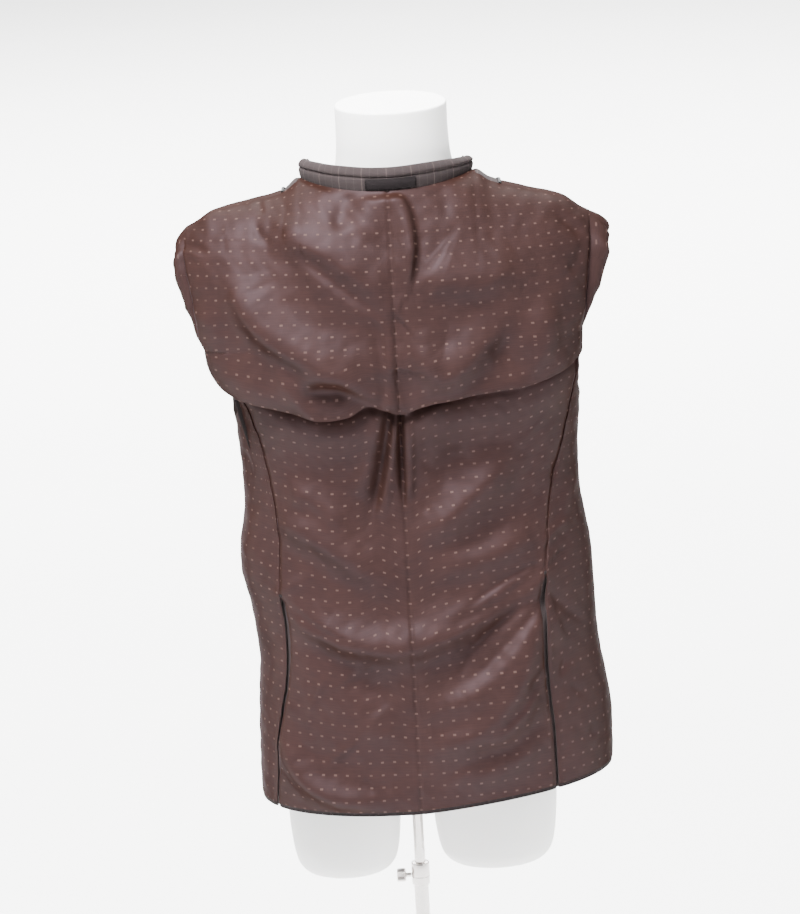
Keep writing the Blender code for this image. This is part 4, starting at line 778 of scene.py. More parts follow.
def walled(name, outer, inner, grain, finishes, low_edge=0):
    """A closed wall between two grids of rows and columns.

    The outer face takes the first finish, and the inner face, the edges and the lowest rows of the
    outer face the second.
    """
    count = outer[..., 0].size
    index = np.arange(count).reshape(outer.shape[:2])
    grid = four_cornered(index)
    low_rows = np.zeros(grid.shape[:2], int)
    low_rows[:low_edge] = 1
    out_faces = grid.reshape(-1, 4)
    in_faces = out_faces[:, ::-1] + count

    def rim(a, b):
        return np.stack([b, a, a + count, b + count], -1)

    rims = np.concatenate([
        rim(index[0, :-1], index[0, 1:]), rim(index[-1, 1:], index[-1, :-1]),
        rim(index[1:, 0], index[:-1, 0]), rim(index[:-1, -1], index[1:, -1]),
    ])
    faces = np.concatenate([out_faces, in_faces, rims])
    parts = np.concatenate([low_rows.ravel(), np.ones(len(in_faces) + len(rims), int)])
    points = np.concatenate([outer.reshape(-1, 3), inner.reshape(-1, 3)])
    corner = points[out_faces]
    facing = np.cross(corner[:, 2] - corner[:, 0], corner[:, 3] - corner[:, 1])
    away = corner[:, 0] - points[out_faces[:, 0] + count]
    if (facing * away).sum() < 0:
        faces = faces[:, ::-1]
    both = np.concatenate([grain.reshape(-1, 2), grain.reshape(-1, 2)])
    return mesh_piece(name, points, faces, finishes, COAT_BODY, parts, both, 60)


def cut_size(grid):
    """A panel's width, length and area, measured over its grid of points."""
    across = np.linalg.norm(np.diff(grid, axis=1), axis=-1)
    up = np.linalg.norm(np.diff(grid, axis=0), axis=-1)
    cells = np.cross(grid[1:, 1:] - grid[:-1, :-1], grid[1:, :-1] - grid[:-1, 1:])
    area = np.linalg.norm(cells, axis=-1).sum() / 2
    return float(across.sum(1).max()), float(up.sum(0).max()), float(area)


SPARE = 1.02


def declare_cut(grid):
    """Works out the piece's flat cut, from the plain surface that it was cut to cover, with a little to
    spare, and keeps nothing of it.
    """
    width, length, area = cut_size(grid)
    width, length = max(width, area / length * SPARE), max(length, area / width * SPARE)


def panel(name, side, first, last, levels, shares, finishes, depth=0.0, cloth=CLOTH, turned_up=True,
          centre_grain=0.0, shoulder=0):
    """A panel between two edges, which give the angle at a level, with its grain.

    The grain's first number is the distance round from the first edge, and the second the height,
    less the climb of the fold across the back, so that the rows of dots follow it. shoulder is -1
    where the panel stops short of the shoulder's ridge, and 1 where it is carried over it.
    """
    share = shares[None, :]
    level = np.broadcast_to(levels[:, None], (len(levels), share.shape[1]))
    angle = first(levels)[:, None] * (1 - share) + last(levels)[:, None] * share
    if shoulder < 0:
        level = level - turn_over(angle) * ease((level - 1.8) / 0.2)
    elif shoulder > 0:
        angle, level = carried_over(side, angle, level)
    inset = depth(angle, level) if callable(depth) else depth
    base = plain(angle, level)
    # The lowest rows, the hem's turning, take the second finish. On the lining pieces that is the darkened
    # wool, which is painted shade.
    turning = (base[..., 2] - hem_line(angle) < HEM_TURNING) & (level < FOLD_LEVEL / 2)
    low_edge = int(turning.all(axis=1).sum()) if turned_up else 0
    inset = inset + LINING_SET_IN * (np.arange(len(base)) < low_edge)[:, None] + seam_dip(base)
    outer = body(angle, level, inset)
    inner = body(angle, level, inset + cloth)
    walled_panel(name, base, angle, level, outer, inner, finishes, low_edge, centre_grain)


def seam_dip(base):
    """How far a panel's two long edges are drawn in by their seams."""
    along = length_along(base, 1)
    edge = np.minimum(along, along[:, -1:] - along)
    return SEAM_DIP * np.exp(-((edge / SEAM_DIP_WIDTH) ** 2))


def turn_over(angle):
    """How far the shoulder seam lies behind the shoulder's ridge, as a share of a level."""
    x = np.abs(top_point(angle)[0] - CENTRE_X)
    starts = ease((x - NECK_HALF_WIDTH) / BEHIND_STEP)
    return SEAM_BEHIND * starts * (1 - ease((x - BEHIND_END) / BEHIND_FADE))


def carried_over(side, angle, level):
    """A front's rows, with more of them that carry it over the ridge to the shoulder seam."""
    top = angle[-1]
    spread = (fan(top) / fan(side * np.full(top.shape, 60.0))) ** (SQUARENESS / 2)
    behind = side * np.degrees(np.arcsin(np.clip(np.abs(np.sin(np.radians(top))) * spread, 0, 0.9995)))
    share = np.linspace(0, 1, 9)[1:, None]
    over = 2 - turn_over(behind) * share
    angle = np.concatenate([angle, np.broadcast_to(behind, over.shape)])
    return angle, np.concatenate([level, over])


GRAIN_CLIMB = 0.85


def walled_panel(name, base, angle, level, outer, inner, finishes, low_edge=0,
                 centre_grain=0.0):
    """The wall of a panel's two grids, with its grain in metres; its flat cut is worked out but not kept."""
    u, along = length_along(base, 1) + centre_grain, length_along(base, 0)
    first_high = int((level[:, 0] <= 1).sum()) - 1
    climb = fold_rise(angle) * ease(level / 0.35) * (1 - ease((level - FOLD_LEVEL) / 0.55))
    high = CHEST_Z + along - along[first_high]
    v = np.where((np.arange(len(base)) > first_high)[:, None], high, base[..., 2] - climb * GRAIN_CLIMB)
    piece = walled(name + "_cloth", outer, inner, np.stack([u, v], -1), finishes, low_edge=low_edge)
    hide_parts(name)
    declare_cut(base)


HEM_ROWS = np.array([0, 0.0015, 0.0035, 0.0055, 0.0075, 0.0078, 0.0095])
PANEL_LEVELS = np.concatenate([
    HEM_ROWS, np.linspace(0.0125, 0.775, 176), np.linspace(0.780, 0.798, 8), np.linspace(0.8, 0.862, 36),
    np.linspace(0.868, 1.0, 22), np.linspace(1.0, 1.9, 82)[1:], np.linspace(1.9, 2.0, 14)[1:],
])
BACK_SHARES = np.linspace(0, 1, 108) ** 1.35


def name_of(piece, side):
    """A piece's name, with its side."""
    return f"{piece}_{SIDE_NAMES[side]}"


def back_panel(side):
    """Half of the back, from the centre seam to the side-body seam and the armhole."""

    def outer(level):
        seam = seam_angle(side, "back", level)
        gap = vent_gap(side, height(seam, level))
        return moved(seam, level, -side * np.where(level > 1, 0, gap))

    panel(name_of("back", side), side, np.zeros_like, outer, PANEL_LEVELS, BACK_SHARES,
          [LINING, PAINTED_SHADE_WOOL], centre_grain=DOT_PITCH / 2, shoulder=-1)


for side in (LEFT, RIGHT):
    back_panel(side)

# ---------------------------------------------------------------- side bodies
# A narrow panel under each arm, with the armhole's curve for its top edge. It hangs free of the back
# below the vent.

ARMHOLE_DIP = 0.083


def armhole_level(angle, swing):
    """The level of the side body's top edge, which dips under the arm. swing is -1 and 1 at its ends."""
    z = CHEST_Z - ARMHOLE_DIP * np.sqrt(np.clip(1 - swing**2, 0, 1))
    hem, fold = hem_line(angle), FOLD_Z + fold_rise(angle)
    above = FOLD_LEVEL + (1 - FOLD_LEVEL) * (z - fold) / (CHEST_Z - fold)
    return np.where(z > fold, above, FOLD_LEVEL * (z - hem) / (fold - hem))


def side_body(side):
    """The side body: its rows gather towards the dip of the armhole."""

    def back_edge(level):
        seam = seam_angle(side, "back", level)
        return moved(seam, level, side * vent_gap(side, height(seam, level)))

    share = (1 - np.cos(np.linspace(0, np.pi, 57)))[None, :] / 2
    rows = np.concatenate([HEM_ROWS, np.linspace(0.012, 1.0, 170)])[:, None]
    level = rows * np.ones_like(share)
    for _ in range(4):
        angle = back_edge(level) * (1 - share) + seam_angle(side, "front", level) * share
        level = rows * (1 - (1 - armhole_level(angle[-1:], 2 * share - 1)) * rows**2)
    base = plain(angle, level)
    step_in = LINING_SET_IN * (np.arange(len(rows)) < len(HEM_ROWS) - 2)[:, None] + seam_dip(base)
    outer, inner = body(angle, level, step_in), body(angle, level, CLOTH)
    walled_panel(name_of("side", side), base, angle, level, outer, inner, [LINING, PAINTED_SHADE_WOOL],
                 len(HEM_ROWS) - 2)


for side in (LEFT, RIGHT):
    side_body(side)

# ---------------------------------------------------------------- fronts and facings
# The lined part of each front, and the wool facing that runs from the shoulder down its front edge.
# The left front lies over the right one, and the lower corners are cut away in a curve.

OVERLAP, BREAK_Z = 0.018, 1.120
CUTAWAY_Z, CUTAWAY = 0.975, 0.105
FACING_AT_CHEST = 0.078
FACING_AT_SHOULDER = {LEFT: 0.112, RIGHT: 0.121}
UNDER_FRONT_INSET = 0.0036


def front_edge(z):
    """The front edge's distance past the centre front: overlap, roll line above and cutaway below."""
    neck_side = SHOULDER["left"][0]
    rolled = np.clip((z - BREAK_Z) / (neck_side - BREAK_Z), 0, 1)
    cut = np.clip((CUTAWAY_Z - z) / (CUTAWAY_Z - HEM_Z), 0, 1)
    bow = 1 - np.sqrt(1 - (0.995 * cut) ** 2)
    return -OVERLAP + (NECK_HALF_WIDTH + OVERLAP) * rolled + CUTAWAY * bow


def front_angle(side, distance, level):
    """The angle of the point of the front that lies this far from the centre front."""
    level = np.asarray(level, float)
    z = height(side * np.full(level.shape, 150.0), np.minimum(level, 1.0))
    wide = smooth(z, SECTIONS["z"], SECTIONS[SIDE_NAMES[side]]) - side * CENTRE_X
    above = np.clip(level - 1, 0, 1)
    spread = fan(side * np.full(level.shape, 150.0))
    widening = 1 - (1 - above) ** WIDENING
    share = np.clip(np.asarray(distance) / (wide * (1 + (spread - 1) * widening)), -1, 1)
    swing = np.degrees(np.arcsin(np.sign(share) * np.abs(share) ** (SQUARENESS / 2)))
    return side * (180.0 - swing)


def roll_distance(level):
    """The front edge's distance from the centre front at a level, up to the neck."""
    level = np.asarray(level, float)
    z = height(np.full(level.shape, 172.0), np.minimum(level, 1.0))
    at_chest = front_edge(np.array(CHEST_Z))
    upper = at_chest + (NECK_HALF_WIDTH + 0.001 - at_chest) * np.sin(np.pi / 2 * np.clip(level - 1, 0, 1))
    return np.where(level > 1, upper, front_edge(z))


def facing_distance(side, level):
    """The seam between facing and lining, from the centre front."""
    level = np.asarray(level, float)
    edge = roll_distance(level)
    low = np.maximum(edge + 0.045, FACING_AT_CHEST)
    upper = FACING_AT_CHEST + (FACING_AT_SHOULDER[side] - FACING_AT_CHEST) * ease((level - 0.9) / 1.1)
    return np.where(level > 0.9, np.maximum(upper, edge + 0.016), low)


def facing_seam(side, level):
    """The angle of the seam between facing and lining."""
    return front_angle(side, facing_distance(side, level), level)


def under_inset(side):
    """The right front lies under the left one, so it is set in where they overlap."""

    def inset(angle, level):
        if side == LEFT:
            return np.zeros(np.shape(angle))
        point = plain(angle, level)
        near = ease((0.055 - point[..., 0]) / 0.026) * ease((BREAK_Z + 0.13 - point[..., 2]) / 0.05)
        return UNDER_FRONT_INSET * near

    return inset


FRONT_LEVELS = np.concatenate([HEM_ROWS, np.linspace(0.0125, 1.9, 214), np.linspace(1.9, 2.0, 10)[1:]])


def front_panel(side):
    """The lined front, from the side-body seam and the armhole to the facing."""

    def outer(level):
        return seam_angle(side, "front", level)

    def inner(level):
        return facing_seam(side, level)

    panel(name_of("front", side), side, outer, inner, FRONT_LEVELS, np.linspace(0, 1, 56),
          [LINING, PAINTED_SHADE_WOOL], under_inset(side), shoulder=1)


def facing(side):
    """The facing, from its seam with the lining to the front edge and the roll of the lapel."""

    def outer(level):
        return facing_seam(side, level)

    def edge(level):
        return front_angle(side, roll_distance(level), level)

    panel(name_of("facing", side), side, outer, edge, FRONT_LEVELS, np.linspace(0, 1, 34),
          [WOOL, WOOL], under_inset(side), turned_up=False, shoulder=1)


for side in (LEFT, RIGHT):
    front_panel(side)
    facing(side)

# ---------------------------------------------------------------- lapels and vent underlaps
# Each lapel is folded back along its roll line, between the facing and the form. Behind each vent
# lies a narrow underlap of the shell cloth.

LAPEL = table(
    "level  width",
    (0.83, 0.012),
    (1.00, 0.052),
    (1.30, 0.078),
    (1.45, 0.072),
    (1.56, 0.055),
)
LAPEL_CLOTH, LAPEL_CLEAR = 0.0022, 0.0022
FLAP_WIDTH, FLAP_DEPTH, FLAP_CLOTH = 0.030, 0.0052, 0.0020


def lapel(side):
    """A patch behind the facing, widest a little below its notch."""

    def edge(level):
        return front_angle(side, roll_distance(level) + 0.0015, level)

    def free_edge(level):
        reach = roll_distance(level) + smooth(level, LAPEL["level"], LAPEL["width"])
        return front_angle(side, reach, level)

    panel(name_of("lapel", side), side, edge, free_edge, np.linspace(0.83, 1.56, 70),
          np.linspace(0, 1, 24), [WOOL, WOOL], CLOTH + LAPEL_CLEAR, LAPEL_CLOTH, False)


def vent_underlap(side):
    """A strip behind the vent, from just past its side edge to under the back."""

    def outer(level):
        return moved(seam_angle(side, "back", level), level, side * 0.009)

    def inner(level):
        return moved(seam_angle(side, "back", level), level, -side * FLAP_WIDTH)

    panel(name_of("vent_flap", side), side, outer, inner, np.linspace(0.0, 0.44, 90),
          np.linspace(0, 1, 14), [WOOL, WOOL], FLAP_DEPTH, FLAP_CLOTH, False)


for side in (LEFT, RIGHT):
    lapel(side)
    vent_underlap(side)

# ---------------------------------------------------------------- piping
# A narrow dark piping is caught in the seam between the lining and the facing, from the shoulder
# to the hem.

PIPING_WIDTH, PIPING_RISE, PIPING_SINK = 0.0034, 0.0021, 0.0004


def trim_finish():
    """Dark matt rayon, ribbed finely across."""
    made, node, link, shader = finish_base(
        "dark_trim", (0.006, 0.005, 0.006), 0.62, Sheen_Weight=0.04, Specular_IOR_Level=0.2
    )
    grain = node("UVMap", uv_map="grain").outputs["UV"]
    ribs = noise(node, link, grain, 1500, 1.0, (0.25, 1, 1))
    share = ramped(node, link, ribs, 0.3, 0.7)
    colour = mixed_colour(node, link, share, (0.004, 0.0035, 0.004), (0.009, 0.008, 0.009))
    link(colour, shader.inputs["Base Color"])
    raised(node, link, shader, ribs, 0.00015, 0.7)
    return made


TRIM = trim_finish()


def piping(side):
    """A half-round bead along the facing's seam: an arch of columns over a flat underside."""
    levels = np.concatenate([[0.006], np.linspace(0.012, 1.985, 230)])
    seam = facing_seam(side, levels)
    arch = np.linspace(-1, 1, 9)
    angle = np.stack([moved(seam, levels, side * PIPING_WIDTH / 2 * a) for a in arch], 1)
    angle, level = carried_over(side, angle, np.broadcast_to(levels[:, None], angle.shape))
    inset = under_inset(side)(angle, level)
    rise = PIPING_SINK + (PIPING_RISE - PIPING_SINK) * np.sqrt(np.maximum(1 - arch**2, 0))[None, :]
    outer, inner = body(angle, level, inset - rise), body(angle, level, inset - 0.0003)
    grain = np.stack([np.broadcast_to(arch * PIPING_WIDTH, angle.shape), outer[..., 2]], -1)
    piece = walled(name_of("piping", side) + "_cord", outer, inner, grain, [TRIM, TRIM])
    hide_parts(name_of("piping", side))


for side in (LEFT, RIGHT):
    piping(side)

# ---------------------------------------------------------------- sleeves
# Each two-piece sleeve is sewn into its armhole, rolls over the seam with its gathered head, turns
# back in through the armhole and hangs flat inside the coat.

SLEEVE_CLOTH, SLEEVE_CLEAR = 0.0021, 0.0040
ROLL_FULLNESS = {LEFT: 0.55, RIGHT: 0.95}
ROLL_FULLEST_Z, ROLL_LEAST = 1.385, 0.06
ROLL_CLEAR = (0.0001, 0.0004)

# The roll of the sleeve head: how far out of the armhole, and how far in from its seam.
SLEEVE_ROLL = table(
    "row  out     shrink",
    (0.0, 0.0000, 0.0000),
    (1.0, 0.0110, 0.0006),
    (2.0, 0.0190, 0.0042),
    (3.0, 0.0210, 0.0105),
    (4.0, 0.0150, 0.0155),
    (5.0, 0.0020, 0.0175),
    (6.0, -0.019, 0.0190),
)

# The flattened sleeve inside the coat: the level it hangs beside, half its thickness and half the
# angle it spans.
SLEEVE_TUBE = table(
    "level  half_thick half_span",
    (0.100, 0.0062, 27.0),
    (0.240, 0.0068, 30.0),
    (0.360, 0.0080, 33.0),
    (0.480, 0.0090, 33.0),
    (0.600, 0.0095, 31.0),
)
BLEND_SWING = 0.65
BESIDE_ARM, UNDER_ARM = 42, 48
UNDER_SLEEVE = (24, 108)
GATHERS = {LEFT: (17, 0.0016, 0.4), RIGHT: (15, 0.0026, 1.9)}
ROLL_ROWS, BLEND_ROWS, TUBE_ROWS = 37, 24, 60
MOUTH_OVAL = (0.044, 0.088)
HAIR = 0.00003


def armhole(side):
    """The armhole's closed edge, from the shoulder tip down the back, under and up the front."""
    back = abs(float(seam_angle(side, "back", np.array(1.0))))
    front = abs(float(seam_angle(side, "front", np.array(1.0))))
    down = 2 - np.linspace(0, 1, BESIDE_ARM + 1)
    swing = -np.cos(np.linspace(0, np.pi, UNDER_ARM + 1)[1:-1])
    dip = np.full(swing.shape, (back + front) / 2)
    for _ in range(4):
        at = armhole_level(side * dip, swing)
        low, high = np.abs(seam_angle(side, "back", at)), np.abs(seam_angle(side, "front", at))
        dip = (low + high) / 2 + (high - low) / 2 * swing
    angles = np.concatenate([np.full(len(down), back), dip, np.full(len(down) - 1, front)])
    levels = np.concatenate([down, armhole_level(side * dip, swing), down[::-1][:-1]])
    return body(side * angles, np.minimum(levels, 1.998), SEAM_DIP)


def away_from_hollow(grid, side):
    """Unit normals of a sleeve's grid, out of its hollow."""
    round_it = np.roll(grid, -1, axis=1) - np.roll(grid, 1, axis=1)
    normal = np.cross(np.gradient(grid, axis=0), round_it) * side
    return unit(normal)


def sleeve_roll(side, seam, centre):
    """Rings from the armhole's seam out over the gathered head and back in to the sleeve's mouth."""
    top, bottom = seam[:, 2].max(), seam[:, 2].min()
    spoke = unit((seam - centre) * [0, 1, 1])
    below = np.clip((ROLL_FULLEST_Z - seam[:, 2]) / (ROLL_FULLEST_Z - bottom), 0, 1)
    fullness = ROLL_FULLNESS[side] * (1 - ease(below / 0.55)) + ROLL_LEAST * ease(below / 0.55)
    clear = ROLL_CLEAR[0] + (ROLL_CLEAR[1] - ROLL_CLEAR[0]) * ease(below / 0.4)
    at = np.linspace(0, 6, ROLL_ROWS)
    out = smooth(at, SLEEVE_ROLL["row"], SLEEVE_ROLL["out"])[:, None]
    shrink = smooth(at, SLEEVE_ROLL["row"], SLEEVE_ROLL["shrink"])[:, None]
    at_top = ease((seam[:, 2] - top + 0.034) / 0.030)
    shrink = shrink * (1 - 0.9 * ease(below / 0.7)) + 0.5 * at_top * np.maximum(out, 0)
    turns = np.arange(len(seam)) / len(seam) * 2 * np.pi
    number, deep, phase = GATHERS[side]
    gather = 1 - 2 * np.abs(np.sin(number / 2 * turns + phase + 0.8 * np.sin(3 * turns))) ** 0.7
    gather = gather * (0.6 + 0.4 * np.sin(5 * turns + phase))
    swell = np.sin(np.pi * np.clip(at / 5.2, 0, 1))[:, None] ** 0.8
    gather = deep * gather * (1 - 0.7 * ease(below / 0.6)) * swell
    roll = np.broadcast_to(seam, (len(at), *seam.shape)) - spoke * shrink[..., None]
    roll = roll + spoke * gather[..., None] * 0.7
    roll[..., 0] += side * (clear + out * np.where(out > 0, fullness, 1) + gather * 0.8)
    return roll


def sleeve_tube(side, turn):
    """Rings of the flattened tube that hangs inside the coat, from its top downwards."""
    flat = np.sign(np.cos(turn)) * np.abs(np.cos(turn)) ** 0.6
    wide = np.sign(np.sin(turn)) * np.abs(np.sin(turn)) ** 0.9
    level = np.broadcast_to(np.linspace(0.600, 0.100, TUBE_ROWS)[:, None], (TUBE_ROWS, len(turn)))
    thick = smooth(level, SLEEVE_TUBE["level"], SLEEVE_TUBE["half_thick"])
    span = smooth(level, SLEEVE_TUBE["level"], SLEEVE_TUBE["half_span"])
    angle = side * (90.0 - span * wide)
    depth = CLOTH + SLEEVE_CLEAR + SLEEVE_CLOTH + thick * (1 + flat)
    return plain(angle, level) - plain_normal(angle, level) * [1, 1, 0] * depth[..., None]


def sleeve(side):
    """Rings from the armhole over the roll, a blend into the hollow, and the hanging flattened tube."""
    seam = armhole(side)
    centre = np.array([0, seam[:, 1].mean(), (seam[:, 2].max() + seam[:, 2].min()) / 2])
    roll = sleeve_roll(side, seam, centre)
    mouth = roll[-1]
    turn = np.arctan2(-(mouth[:, 1] - centre[1]) / MOUTH_OVAL[0], (mouth[:, 2] - centre[2]) / MOUTH_OVAL[1])
    tube = sleeve_tube(side, turn)
    share = (np.arange(1, BLEND_ROWS + 1) / (BLEND_ROWS + 1))[:, None, None]
    blend = mouth * (1 - share) + tube[0] * share
    inwards = share[..., 0] ** (1 - BLEND_SWING * np.cos(turn))
    blend[..., 0] = mouth[:, 0] + (tube[0][:, 0] - mouth[:, 0]) * inwards
    lining_side = np.concatenate([roll, blend, tube])
    level_out = unit(np.stack([-side * np.cos(turn) * 1.6, -np.sin(turn), 0 * turn], -1))
    away = away_from_hollow(lining_side, side)
    hanging = ease((np.arange(len(away)) - ROLL_ROWS + 6) / 12)[:, None, None]
    hidden_side = lining_side + unit(away * (1 - hanging) + level_out * hanging) * SLEEVE_CLOTH
    under = np.arange(UNDER_SLEEVE[0], UNDER_SLEEVE[1] + 1)
    upper = np.arange(UNDER_SLEEVE[1], UNDER_SLEEVE[0] + len(seam) + 1)
    for name, columns in (("sleeve_under", under), ("sleeve_top", upper)):
        sleeve_piece(name, side, trimmed(lining_side, columns), trimmed(hidden_side, columns))


def trimmed(grid, columns):
    """Some of a ring's columns, with both ends set in by a hair."""
    part = np.take(grid, columns, axis=1, mode="wrap")
    for end, beside in ((0, 1), (-1, -2)):
        part[:, end] += unit(part[:, beside] - part[:, end]) * HAIR
    return part


def sleeve_piece(name, side, outer, inner):
    """One of a sleeve's two pieces, with its grain in metres; its flat cut is worked out but not kept."""
    u, v = length_along(outer, 1).mean(0), length_along(outer, 0).mean(1)
    grain = np.stack(np.broadcast_arrays(u[None, :], v[:, None]), -1)
    piece = walled(name_of(name, side) + "_cloth", outer, inner, grain, [LINING, PAINTED_SHADE_WOOL])
    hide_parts(name_of(name, side))
    declare_cut(outer)


for side in (LEFT, RIGHT):
    sleeve(side)

# ---------------------------------------------------------------- collar
# The collar's stand rises from the neck seam, rolls over and its fall is folded down inside. It is
# cut from the striped wool, with the stripes upright at the centre back.

COLLAR_CLOTH, COLLAR_END = 0.0024, 0.30
COLLAR_PROFILE = table(
    "row in      up",
    (0, 0.0016, -0.0040),
    (1, -0.0004, 0.0080),
    (2, 0.0004, 0.0150),
    (3, 0.0012, 0.0205),
    (4, 0.0040, 0.0240),
    (5, 0.0078, 0.0240),
    (6, 0.0102, 0.0200),
    (7, 0.0106, 0.0070),
)
STAND_SEAM = (0.0140, 0.0011, 0.0013)
COLLAR_RIPPLE = 0.0004


def neck_seam(turn):
    """The back neck seam. turn is -90 to 90 degrees, from the left shoulder to the right."""
    angle = np.radians(turn)
    bow = np.cos(angle) ** (2 * NECK_BOW)
    side = np.where(np.asarray(turn) < 0, SHOULDER["left"][0], SHOULDER["right"][0])
    x = CENTRE_X + NECK_HALF_WIDTH * np.sin(angle)
    y = SHOULDER_Y[0] - NECK_BACK_DEPTH * bow
    z = side - (side - NECK_BACK_Z) * bow
    out = np.stack([np.sin(angle) / NECK_HALF_WIDTH, -np.cos(angle) / NECK_BACK_DEPTH, 0 * bow], -1)
    return np.stack([x, y, z], -1), unit(out)


def front_neck_seam(side):
    """The neck seam on a front, from near the shoulder down along the roll line."""
    level = 2 - np.linspace(0.07, COLLAR_END, 16)
    angle = front_angle(side, roll_distance(level), level)
    points = body(angle, level)
    points[:, 0] -= side * 0.0006
    out = np.stack([np.full(len(level), side * 1.0), 0.35 + 0 * level, 0 * level], -1)
    return points, unit(out)


def collar():
    """The neck seam carried up the collar's profile, with a seam line along the stand."""
    half = np.linspace(0, 90, 54)
    turn = np.concatenate([-half[:0:-1], half])
    turn[0], turn[-1] = -89.9, 89.9
    seam, out = neck_seam(turn)
    left, left_out = front_neck_seam(LEFT)
    right, right_out = front_neck_seam(RIGHT)
    seam = np.concatenate([left[::-1], seam, right])
    out = np.concatenate([left_out[::-1], out, right_out])
    ends = np.linspace(0.07, COLLAR_END, 16) / COLLAR_END
    low_end = np.where(turn < 0, 0.20, 0.42)
    tall = 1 - low_end * ease((np.abs(turn) - 18) / 72)
    tall = np.concatenate([tall[0] - 0.4 * ends[::-1], tall, tall[-1] - 0.3 * ends])
    at = np.linspace(0, 7, 50)
    inward = smooth(at, COLLAR_PROFILE["row"], COLLAR_PROFILE["in"])[:, None]
    up = smooth(at, COLLAR_PROFILE["row"], COLLAR_PROFILE["up"])[:, None]
    place, wide, deep = STAND_SEAM
    outside = at[:, None] < 3.5
    groove = deep * np.exp(-(((up - place) / wide) ** 2)) * outside
    swell = 0.0011 * np.exp(-(((up - 0.0175) / 0.0035) ** 2)) * outside
    along = length_along(seam, 0)
    along = along - along[len(along) // 2]
    wave = np.sin(along * 170 + 1.3 * np.sin(along * 61))[None, :]
    ripple = COLLAR_RIPPLE * wave * np.sin(at / 7 * np.pi)[:, None]
    grid = seam - out * (inward + groove - swell - ripple)[..., None]
    grid[..., 2] = seam[:, 2] + up * tall
    normal = unit(np.cross(np.gradient(grid, axis=1), np.gradient(grid, axis=0)))
    inner = grid - normal * COLLAR_CLOTH
    rise = length_along(np.hstack([inward, up]), 0)
    grain = np.stack(np.broadcast_arrays(along[None, :], rise[:, None]), -1)
    piece = walled("collar_cloth", grid, inner, grain, [WOOL, WOOL])
    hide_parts("collar")
    declare_cut(grid)


collar()

# ---------------------------------------------------------------- label
# A small label of charcoal taffeta with a darker woven border, laid on the collar's stand a little
# right of its centre and sewn on all round.

LABEL_SIZE = (0.054, 0.0130)
LABEL_MIDDLE = 0.009
LABEL_LIFT, LABEL_CLOTH = 0.0008, 0.0008
LABEL_BORDER, LABEL_FADE = 0.0011, 0.0003


def label_finish():
    """Charcoal taffeta with a darker woven border."""
    made, node, link, shader = finish_base(
        "label_taffeta", (0.0100, 0.0082, 0.0088), 0.70, Specular_IOR_Level=0.04
    )
    grain = node("UVMap", uv_map="grain").outputs["UV"]
    split = node("SeparateXYZ")
    link(grain, split.inputs[0])
    edges = []
    for axis, size in zip("XY", LABEL_SIZE):
        away = worked(node, link, "Math", "ABSOLUTE", split.outputs[axis])
        start = size / 2 - LABEL_BORDER
        edges.append(ramped(node, link, away, start - LABEL_FADE, start))
    border = worked(node, link, "Math", "MAXIMUM", *edges)
    thread = ramped(node, link, noise(node, link, grain, 1900, 1.0, (1, 0.3, 1)), 0.3, 0.7)
    ground = mixed_colour(node, link, thread, (0.0078, 0.0062, 0.0066), (0.0125, 0.0102, 0.0108))
    colour = mixed_colour(node, link, border, ground, (0.0034, 0.0028, 0.0030))
    link(colour, shader.inputs["Base Color"])
    raised(node, link, shader, thread, 0.00010, 0.6)
    return made


def label():
    """A strip of the stand's own surface, moved out, with softly rounded edges."""
    half = LABEL_SIZE[0] / 2
    reach = np.linspace(LABEL_MIDDLE - half, LABEL_MIDDLE + half, 60)
    seam, out = neck_seam(np.degrees(np.arcsin((reach - CENTRE_X) / NECK_HALF_WIDTH)))
    ups = np.linspace(0.0012, LABEL_SIZE[1], 16)
    inward = smooth(ups, COLLAR_PROFILE["up"][:4], COLLAR_PROFILE["in"][:4])
    under = seam - out * inward[:, None, None]
    under[..., 2] = seam[:, 2] + ups[:, None]
    u = np.broadcast_to((reach - LABEL_MIDDLE)[None, :], under.shape[:2])
    v = np.broadcast_to((ups - ups.mean())[:, None], under.shape[:2])
    edge = np.minimum(half - np.abs(u), (ups[-1] - ups[0]) / 2 - np.abs(v))
    lift = LABEL_LIFT + LABEL_CLOTH * (0.55 + 0.45 * ease(edge / 0.0008))
    lift = lift + 0.00012 * np.sin(u * 520 + v * 300)
    outer, inner = under + out * lift[..., None], under + out * LABEL_LIFT
    piece = walled("label_cloth", outer, inner, np.stack([u, v], -1), [label_finish(), TRIM])
    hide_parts("label")


label()

# ---------------------------------------------------------------- stitching
# Small stitches run all round the label, and a bar tack of a few longer ones closes the top of each
# vent.

STITCH_STEP, STITCH_HALF, STITCH_RADIUS = 0.0026, 0.0008, 0.00022
TACK_ROWS, TACK_HALF, TACK_RADIUS = 4, 0.0036, 0.00040


def thread_finish():
    """Dark sewing thread with a fine twist."""
    made, node, link, shader = finish_base(
        "sewing_thread", (0.010, 0.0075, 0.0075), 0.6, Specular_IOR_Level=0.1
    )
    twist = noise(node, link, node("TexCoord").outputs["Object"], 3200.0, 1.0)
    share = ramped(node, link, twist, 0.3, 0.7)
    colour = mixed_colour(node, link, share, (0.0070, 0.0055, 0.0055), (0.0160, 0.0120, 0.0120))
    link(colour, shader.inputs["Base Color"])
    return made


THREAD = thread_finish()


